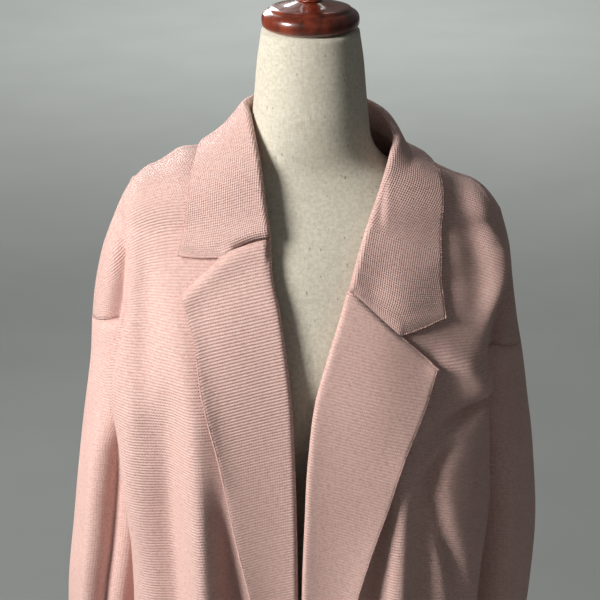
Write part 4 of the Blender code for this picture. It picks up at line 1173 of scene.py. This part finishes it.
def formMesh():
    # level rings, each a slightly squared oval
    rows = formShape["rows"]
    top, low = rows[0][0], rows[-1][0]
    count = round((top - low) / formShape["step"])
    rings = []
    for i in range(count + 1):
        row = between(formShape["columns"], rows, top + (low - top) * i / count)
        ring = []
        for k in range(formShape["around"]):
            turn = 2 * math.pi * k / formShape["around"]
            c, s = math.cos(turn), math.sin(turn)
            power = 2 / formShape["squareness"]
            depth = row["back"] if s > 0 else row["front"]
            ring.append((formX + row["half"] * math.copysign(abs(c) ** power, c),
                         depth * math.copysign(abs(s) ** power, s), row["z"]))
        rings.append(ring)
    return ringMesh(rings)


def turnedMesh(profile):
    points = [(radius, z, 0.0) for radius, z in profile]
    gaps = [np.linalg.norm(np.subtract(b, a)) for a, b in zip(points, points[1:])]
    counts = [min(max(1, math.ceil(gap / wood["step"])), wood["mostSteps"])
              for gap in gaps]
    turns = [2 * math.pi * k / wood["around"] for k in range(wood["around"])]
    return ringMesh([[(formX + radius * math.cos(turn), radius * math.sin(turn), z)
                      for turn in turns] for radius, z, _ in through(points, counts)])


class Nodes:
    # short ways to add and join shader nodes

    def __init__(self, name):
        self.material = bpy.data.materials.new(name)
        self.material.use_nodes = True
        self.tree = self.material.node_tree
        self.shader = self.tree.nodes["Principled BSDF"]

    def add(self, kind, inputs=None, **settings):
        node = self.tree.nodes.new(kind)
        for key, value in settings.items():
            setattr(node, key, value)
        for key, value in (inputs or {}).items():
            self.give(node.inputs[key], value)
        return node

    def give(self, socket, value):
        if isinstance(value, bpy.types.NodeSocket):
            self.tree.links.new(value, socket)
        else:
            socket.default_value = value

    def math(self, operation, a, b=0.0):
        node = self.add("ShaderNodeMath", operation=operation)
        self.give(node.inputs[0], a)
        self.give(node.inputs[1], b)
        return node.outputs[0]

    def plus(self, a, b):
        return self.math("ADD", a, b)

    def times(self, a, b):
        return self.math("MULTIPLY", a, b)

    def mix(self, share, a, b):
        node = self.add("ShaderNodeMix", {0: share, 6: a, 7: b}, data_type="RGBA")
        return node.outputs[2]

    def noise(self, vector, scale, detail=2.0, roughness=0.5):
        node = self.add("ShaderNodeTexNoise",
                        {"Vector": vector, "Scale": scale, "Detail": detail,
                         "Roughness": roughness})
        return node.outputs["Fac"]

    def ramp(self, share, low, high):
        node = self.add("ShaderNodeMapRange", {"Value": share, "From Min": low,
                                               "From Max": high})
        return node.outputs[0]

    def stretched(self, vector, scale):
        node = self.add("ShaderNodeMapping", {"Vector": vector})
        node.inputs["Scale"].default_value = scale
        return node.outputs[0]

    def objectPlace(self):
        return self.add("ShaderNodeTexCoord").outputs["Object"]

    def finished(self, look, colour, height, roughness):
        bump = self.add("ShaderNodeBump", {"Height": height, "Strength": look["relief"],
                                           "Distance": look["depth"]})
        self.give(self.shader.inputs["Base Color"], colour)
        self.give(self.shader.inputs["Normal"], bump.outputs[0])
        self.give(self.shader.inputs["Roughness"], roughness)
        for name, value in look["shine"].items():
            self.shader.inputs[name].default_value = value
        return self.material


knit = {
    "row": 0.0034,           # height of a row of stitches
    "wale": 0.0030,          # width of a stitch
    # dark is used for the yarn's own dark flecks and soft patches, and for the painted shade
    # between rows
    "dark": (0.500, 0.265, 0.240, 1.0),
    "main": (0.760, 0.475, 0.430, 1.0),
    "pale": (0.880, 0.660, 0.610, 1.0),
    "wander": 0.0010,        # how far the stitches stray from straight rows
    "drawn": 0.45,           # flecks of yarn are drawn out along the rows
    "groove": 0.28,          # painted shade: how much darker the colour is made in the hollows between two rows
    "clouds": 0.12,          # how much darker it is in large soft patches
    "relief": 0.75,
    "depth": 0.0006,
    "shine": {"Sheen Weight": 0.22, "Sheen Roughness": 0.45,
              "Sheen Tint": (1.0, 0.86, 0.82, 1.0), "Specular IOR Level": 0.2},
    "stitches": {            # strength of rows and of wales, a stitch's dip and size
        "body": (1.0, 0.22, 0.50, 1.0),
        "back": (1.0, 0.22, 0.50, 1.0),
        "collar": (0.8, 0.6, 0.30, 0.84),
        "sleeve": (0.55, 0.30, 0.70, 1.0),
        "edge": (0.0, 0.0, 0.0, 1.0),
    },
}


def knitMaterial(kind):
    rows, wales, dip, size = knit["stitches"][kind]
    make = Nodes("knit_" + kind)
    place = make.objectPlace()
    weaveUv = make.add("ShaderNodeUVMap", uv_map="weave").outputs[0]
    split = make.add("ShaderNodeSeparateXYZ", {0: weaveUv})
    drift = make.math("SUBTRACT", make.noise(place, 34.0), 0.5)
    wobble = make.times(drift, knit["wander"])
    u = make.math("DIVIDE", make.plus(split.outputs[0], wobble), knit["wale"] * size)
    v = make.math("DIVIDE", make.plus(split.outputs[1], wobble), knit["row"] * size)
    legs = make.math("ABSOLUTE", make.math("SUBTRACT", make.math("FRACT", u), 0.5))
    v = make.plus(v, make.times(legs, dip))
    rowWave = make.math("COSINE", make.times(v, math.tau))
    waleWave = make.math("COSINE", make.times(u, math.tau))
    relief = make.plus(make.times(rowWave, rows), make.times(waleWave, wales))
    # the two-tone yarn: flecks along the rows, fine heather all over
    joined = make.add("ShaderNodeCombineXYZ", {0: make.times(u, knit["drawn"]), 1: v})
    fleck = make.noise(joined.outputs[0], 1.15, 3.0, 0.65)
    heather = make.noise(place, 480.0, 3.0, 0.7)
    tone = make.plus(make.times(fleck, 0.5), make.times(heather, 0.5))
    colour = make.mix(make.ramp(tone, 0.36, 0.66), knit["main"], knit["pale"])
    low = make.times(make.ramp(tone, 0.50, 0.28), 0.55)
    # painted shade in the hollows between rows, darkest where the stitch relief is lowest
    groove = make.ramp(relief, -(rows + wales), rows + wales)
    shade = make.times(make.math("SUBTRACT", 1.0, groove), knit["groove"])
    cloud = make.noise(place, 11.0, 3.0)
    tint = make.times(make.ramp(cloud, 0.62, 0.34), knit["clouds"])
    # mixed towards dark: the yarn's own dark flecks, the painted shade between rows, and
    # random soft patches
    for share in (low, shade, tint):
        colour = make.mix(share, colour, knit["dark"])
    fuzz = make.noise(place, 900.0, 2.0, 0.7)
    height = make.plus(make.times(relief, 0.8), make.times(fuzz, 0.8))
    height = make.plus(height, make.times(fleck, 0.5))
    return make.finished(knit, colour, height, make.ramp(fleck, -1.0, 1.5))


linen = {
    "main": (0.680, 0.640, 0.520, 1.0),
    "pale": (0.780, 0.745, 0.640, 1.0),
    "fleck": (0.180, 0.130, 0.080, 1.0),
    "thread": 0.0011,        # width of one thread
    "girth": 0.11,           # radius at which the threads have that width
    "relief": 0.45,
    "depth": 0.0004,
    "shine": {"Sheen Weight": 0.08, "Specular IOR Level": 0.25},
}


def linenMaterial():
    make = Nodes("linen_weave")
    place = make.objectPlace()
    split = make.add("ShaderNodeSeparateXYZ", {0: place})
    side = make.math("SUBTRACT", split.outputs[0], formX)
    turn = make.math("ARCTAN2", split.outputs[1], side)
    across = make.times(turn, linen["girth"] * math.tau / linen["thread"])
    climb = make.times(split.outputs[2], math.tau / linen["thread"])
    drift = make.times(make.noise(place, 55.0), 7.0)
    warp = make.math("SINE", make.plus(across, drift))
    weft = make.math("SINE", make.plus(climb, drift))
    upright = make.noise(make.stretched(place, (1.0, 1.0, 0.06)), 900.0, 2.0, 0.6)
    level = make.noise(make.stretched(place, (0.08, 0.08, 1.0)), 900.0, 2.0, 0.6)
    tone = make.plus(make.times(upright, 0.6), make.times(level, 0.4))
    colour = make.mix(make.ramp(tone, 0.36, 0.62), linen["main"], linen["pale"])
    # small dark seeds in the thread, and a soft mottle
    seeds = make.noise(make.stretched(place, (1.0, 1.0, 0.45)), 330.0, 1.0, 0.4)
    mottle = make.ramp(make.noise(place, 240.0, 2.0, 0.6), 0.60, 0.40)
    for share, most in ((make.ramp(seeds, 0.70, 0.80), 0.6), (mottle, 0.16)):
        colour = make.mix(make.times(share, most), colour, linen["fleck"])
    threads = make.plus(make.times(warp, 0.5), make.times(weft, 0.35))
    height = make.plus(threads, make.times(tone, 1.6))
    return make.finished(linen, colour, height, make.ramp(tone, -1.2, 1.0))


cherry = {
    "dark": (0.040, 0.0065, 0.004, 1.0),
    "main": (0.235, 0.036, 0.013, 1.0),
    "light": (0.400, 0.085, 0.028, 1.0),
    "relief": 0.08,
    "depth": 0.0004,
    "shine": {"Coat Weight": 0.7, "Coat Roughness": 0.07},
    "grains": {              # how far the grain is drawn out along the wood
        "cherry_turned": (1.0, 1.0, 0.35),
        "cherry_long": (1.0, 1.0, 0.07),
    },
}


def cherryMaterial(name):
    along = cherry["grains"][name]
    make = Nodes(name)
    place = make.objectPlace()
    drift = make.times(make.noise(place, 9.0), 0.55)
    grain = make.noise(make.stretched(place, along), 60.0, 6.0, 0.65)
    pores = make.noise(make.stretched(place, tuple(3.5 * a for a in along)), 130.0, 3.0)
    tone = make.plus(grain, make.math("SUBTRACT", drift, 0.275))
    colour = make.mix(make.ramp(tone, 0.30, 0.60), cherry["dark"], cherry["main"])
    for share, most, ink in ((make.ramp(tone, 0.55, 0.80), 0.55, cherry["light"]),
                             (make.ramp(pores, 0.60, 0.72), 0.5, cherry["dark"])):
        colour = make.mix(make.times(share, most), colour, ink)
    return make.finished(cherry, colour, grain, make.ramp(pores, -0.9, 3.2))


def placed(made):
    bpy.context.scene.collection.objects.link(made)
    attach(made, "root")
    return made


def addPiece(name, verts, faces, finish, slot, weaves=None):
    mesh = bpy.data.meshes.new(name)
    mesh.from_pydata([tuple(p) for p in verts], [], [tuple(f) for f in faces])
    if weaves is not None:
        layer = mesh.uv_layers.new(name="weave")
        flat = np.array([c for face in weaves for c in face], dtype=np.float32)
        layer.data.foreach_set("uv", flat.ravel())
    work = bmesh.new()
    work.from_mesh(mesh)
    bmesh.ops.recalc_face_normals(work, faces=work.faces)
    work.to_mesh(mesh)
    work.free()
    mesh.shade_smooth()
    mesh.materials.append(finish)
    return placed(bpy.data.objects.new(name, mesh))


edging = {                   # the row of small stitches along every open edge
    "sizes": {
        "Pitch": 0.0028,     # from one stitch to the next
        "Length": 0.0020,
        "Width": 0.00098,
        "Lean": 0.5,         # radians, a stitch leans across the edge
    },
    "unevenness": (0.82, 1.14),
    "beadSegments": 8,
    "beadRings": 5,
}


def edgingTree():
    tree = bpy.data.node_groups.new("edge_stitches", "GeometryNodeTree")

    def socket(label, kind, way="INPUT"):
        return tree.interface.new_socket(label, in_out=way, socket_type="NodeSocket" + kind)

    socket("Geometry", "Geometry")
    for label, value in edging["sizes"].items():
        socket(label, "Float").default_value = value
    socket("Seed", "Int")
    socket("Material", "Material")
    socket("Geometry", "Geometry", "OUTPUT")
    kinds = {
        "given": "NodeGroupInput", "spaced": "GeometryNodeCurveToPoints",
        "bead": "GeometryNodeMeshUVSphere", "jitter": "FunctionNodeRandomValue",
        "size": "ShaderNodeCombineXYZ", "scaled": "ShaderNodeVectorMath",
        "lean": "ShaderNodeCombineXYZ", "turn": "FunctionNodeRotateRotation",
        "placed": "GeometryNodeInstanceOnPoints", "real": "GeometryNodeRealizeInstances",
        "smooth": "GeometryNodeSetShadeSmooth", "finish": "GeometryNodeSetMaterial",
        "result": "NodeGroupOutput",
    }
    nodes = {name: tree.nodes.new(kind) for name, kind in kinds.items()}
    nodes["spaced"].mode = "LENGTH"
    nodes["jitter"].data_type = "FLOAT"
    nodes["scaled"].operation = "SCALE"
    nodes["turn"].rotation_space = "LOCAL"
    least, most = edging["unevenness"]
    for name, entry, value in (("bead", "Segments", edging["beadSegments"]),
                               ("bead", "Rings", edging["beadRings"]),
                               ("bead", "Radius", 1.0),
                               ("jitter", 2, least), ("jitter", 3, most)):
        nodes[name].inputs[entry].default_value = value
    for source, output, target, entry in (
            ("given", "Geometry", "spaced", "Curve"), ("given", "Pitch", "spaced", "Length"),
            ("given", "Seed", "jitter", "Seed"), ("given", "Width", "size", 0),
            ("given", "Width", "size", 1), ("given", "Length", "size", 2),
            ("size", 0, "scaled", 0), ("jitter", 1, "scaled", "Scale"),
            ("given", "Lean", "lean", 0), ("spaced", "Rotation", "turn", "Rotation"),
            ("lean", 0, "turn", "Rotate By"), ("spaced", "Points", "placed", "Points"),
            ("bead", "Mesh", "placed", "Instance"), ("turn", 0, "placed", "Rotation"),
            ("scaled", 0, "placed", "Scale"), ("placed", 0, "real", 0),
            ("real", 0, "smooth", 0), ("smooth", 0, "finish", "Geometry"),
            ("given", "Material", "finish", "Material"), ("finish", 0, "result", 0)):
        tree.links.new(nodes[source].outputs[output], nodes[target].inputs[entry])
    return tree


def addEdging(name, lines, tree, finish, seed):
    # stitches of yarn along the given lines of points, as one plain mesh
    curve = bpy.data.curves.new(name, "CURVE")
    curve.dimensions = "3D"
    for line in lines:
        spline = curve.splines.new("POLY")
        spline.points.add(len(line) - 1)
        for point, place in zip(spline.points, line):
            point.co = (*place, 1.0)
    source = bpy.data.objects.new(name + "_line", curve)
    bpy.context.scene.collection.objects.link(source)
    modifier = source.modifiers.new("stitches", "NODES")
    modifier.node_group = tree
    inputs = {**edging["sizes"], "Seed": seed, "Material": finish}
    for item in tree.interface.items_tree:
        if item.in_out == "INPUT" and item.name in inputs:
            modifier[item.identifier] = inputs[item.name]
    seen = source.evaluated_get(bpy.context.evaluated_depsgraph_get())
    mesh = bpy.data.meshes.new_from_object(seen)
    mesh.name = name
    source.modifiers.remove(modifier)
    bpy.data.objects.remove(source, do_unlink=True)
    bpy.data.curves.remove(curve)
    return placed(bpy.data.objects.new(name, mesh))


def buildGarment():
    # body and sleeves first, then lapels and collar laid on the folded cloth
    plain, sleeves, kinds = [], [], []
    for side in ("left", "right"):
        blocks, neck, halves = bodyBlocks(side)
        plain += blocks
        kinds += [(kind, side) for kind in ("panel", "arm", "panel", "arm",
                                            "side", "side")]
        sleeves += [(block, side) for block in
                    sleeveBlocks(side, blocks[0][1], blocks[2][1], halves)]
    plainRest = Rest(plain)
    everything = pushOut(plain, sleeves)
    body = everything[:len(plain)]
    rest = Rest(body)
    bridge = Bridge(plainRest, rest)
    lapels, necklines = {}, {}
    for side, first in (("left", 0), ("right", 6)):
        front, back = body[first][1], body[first + 2][1]
        neckCount = sum(finer(backPanel["neckSegments"]))
        neck = back[0][:neckCount]
        edges = [row[0] for row in front[capCount:]]
        lapels[side] = lapelGrid(side, bridge, edges)
        gorgeRow = levelIndex(lapel["gorge"][side][0]) + capCount
        necklines[side] = [row[0] for row in front[:gorgeRow + 1]][::-1] + neck[::-1]
    neckline = necklines["left"] + necklines["right"][::-1][1:]
    collarRows = collarGrid(neckline, rest, bridge, lapels)
    for side in ("left", "right"):
        lapels[side] = proudLapel(side, lapels[side])
    blocks = [(piece, rows, kind, side)
              for (piece, rows), (kind, side) in zip(body, kinds)]
    blocks += [(piece, rows, "sleeve", side)
               for (piece, rows), (_, side) in zip(everything[len(plain):], sleeves)]
    blocks += [("front_" + side, lapels[side], "lapel", side) for side in lapels]
    blocks.append(("collar", collarRows, "collar", "left"))
    return blocks


def makeCloth(blocks, looks):
    pieces = cutPieces(blocks, weaveCoordinates(blocks))
    made = {}
    for piece, (verts, faces, weaves) in pieces.items():
        kind = piece.split("_")[0].replace("front", "body")
        made[piece] = addPiece(piece + "_cloth", verts, faces, looks[kind],
                               "pink_knit", weaves)
        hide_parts(piece)
        area = sum(polygon.area for polygon in made[piece].data.polygons) / 2
        print("cloth", piece, len(faces), "faces, one side", round(area, 4), "m2")
    return made


def edgeLines(blocks):
    # the open edges of each piece, as lines of points
    named = {}
    for piece, rows, kind, side in blocks:
        named.setdefault((piece, kind, side), []).append(rows)
    notch = turnCount + halfFall
    lines = {}
    for side in ("left", "right"):
        flap, panel, flank = [named["front_" + side, kind, side][0]
                              for kind in ("lapel", "panel", "side")]
        hem = flap[-1][::-1] + panel[-1][1:] + flank[-1][1:]
        lines["front_" + side] = [[row[-1] for row in flap], flap[0][notch:], hem]
        lines["sleeve_" + side] = [named["sleeve_" + side, "sleeve", side][1][-1]]
    leftHem, rightHem = [named["back", "panel", side][0][-1] for side in ("left", "right")]
    lines["back"] = [leftHem[::-1] + rightHem[1:]]
    lines["back"] += [named["back", "side", side][0][-1] for side in ("left", "right")]
    fall = named["collar", "collar", "left"][0]
    lines["collar"] = [[row[-1] for row in fall], fall[0][notch:], fall[-1][notch:]]
    return lines


def makeEdges(blocks, finish):
    tree = edgingTree()
    made = {}
    for seed, (piece, lines) in enumerate(edgeLines(blocks).items()):
        made[piece] = addEdging(piece + "_edge", lines, tree, finish, seed)
        print("edge", piece, len(made[piece].data.polygons), "faces")
    return made


def makeStand():
    form = addPiece("form_linen", *formMesh(), linenMaterial(), "cream_linen")
    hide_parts("form")
    looks = {name: cherryMaterial(name) for name in cherry["grains"]}
    for name in ("neck_cap", "cap_knob", "stand_pole", "stand_base"):
        finish = looks["cherry_long" if name == "stand_pole" else "cherry_turned"]
        turnedPiece = addPiece(name + "_turned", *turnedMesh(wood[name]), finish,
                               "cherry_wood")
        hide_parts(name)
    print("form and stand made")
    return form


def makeAll():
    blocks = buildGarment()
    print("skin of", sum(len(b[1]) * len(b[1][0]) for b in blocks), "points")
    looks = {kind: knitMaterial(kind) for kind in knit["stitches"]}
    made = makeCloth(blocks, looks)
    edges = makeEdges(blocks, looks["edge"])
    made["form"] = makeStand()


floor = {
    "reach": 40.0,
    "dark": (0.262, 0.270, 0.262, 1.0),
    "pale": (0.276, 0.284, 0.275, 1.0),
}

lamps = {
    "key": {"at": (-2.05, -1.22, 2.25), "to": (0.0, 0.0, 1.15), "size": 1.0,
            "power": 94.0, "colour": (1.0, 0.965, 0.925), "spread": 180},
    "fill": {"at": (1.2, -3.2, 2.2), "to": (0.0, 0.0, 1.1), "size": 2.4,
             "power": 1.4, "colour": (1.0, 0.97, 0.95), "spread": 180},
    "behind": {"at": (-1.2, 3.2, 2.6), "to": (0.0, 0.0, 1.1), "size": 1.6,
               "power": 26.0, "colour": (0.98, 1.0, 1.0), "spread": 120},
    "far": {"at": (0.3, 7.2, 6.0), "to": (0.0, 7.0, 0.0), "size": 2.5,
            "power": 235.0, "colour": (0.98, 1.0, 0.985), "spread": 110},
}

view = {
    "lens": 120.0,
    "distance": 2.3,
    "pitch": 20.0,           # degrees down
    "aim": (0.0, 0.0, 1.18),
    "air": (0.62, 0.64, 0.62, 1.0),
    "airStrength": 0.17,
}


def addFloor():
    mesh = bpy.data.meshes.new("floor")
    reach = floor["reach"]
    mesh.from_pydata([(-reach, -reach, 0), (reach, -reach, 0), (reach, reach, 0),
                      (-reach, reach, 0)], [], [(0, 1, 2, 3)])
    make = Nodes("pale_floor")
    speck = make.noise(make.objectPlace(), 3.0, 4.0)
    make.give(make.shader.inputs["Base Color"],
              make.mix(make.ramp(speck, 0.3, 0.7), floor["dark"], floor["pale"]))
    make.shader.inputs["Roughness"].default_value = 0.95
    make.shader.inputs["Specular IOR Level"].default_value = 0.1
    mesh.materials.append(make.material)
    ground = bpy.data.objects.new("floor", mesh)
    bpy.context.scene.collection.objects.link(ground)


def addLamps():
    for name, lamp in lamps.items():
        data = bpy.data.lights.new(name, "AREA")
        data.shape = "DISK"
        data.size = lamp["size"]
        data.energy = lamp["power"]
        data.color = lamp["colour"]
        data.spread = math.radians(lamp["spread"])
        light = bpy.data.objects.new(name, data)
        light.location = lamp["at"]
        way = Vector(lamp["to"]) - Vector(lamp["at"])
        light.rotation_euler = way.to_track_quat("-Z", "Y").to_euler()
        bpy.context.scene.collection.objects.link(light)
    world = bpy.data.worlds.new("studio")
    world.use_nodes = True
    back = world.node_tree.nodes["Background"]
    back.inputs["Color"].default_value = view["air"]
    back.inputs["Strength"].default_value = view["airStrength"]
    bpy.context.scene.world = world


def addCamera():
    data = bpy.data.cameras.new("camera")
    data.lens = view["lens"]
    data.sensor_width = 36.0
    camera = bpy.data.objects.new("camera", data)
    pitch = math.radians(view["pitch"])
    camera.location = (view["aim"][0], -view["distance"] * math.cos(pitch),
                       view["aim"][2] + view["distance"] * math.sin(pitch))
    camera.rotation_euler = (math.radians(90) - pitch, 0.0, 0.0)
    bpy.context.scene.collection.objects.link(camera)
    bpy.context.scene.camera = camera
    bpy.context.scene.view_settings.view_transform = "Standard"


makeAll()
addFloor()
addLamps()
addCamera()
print("floor, lamps and camera set")
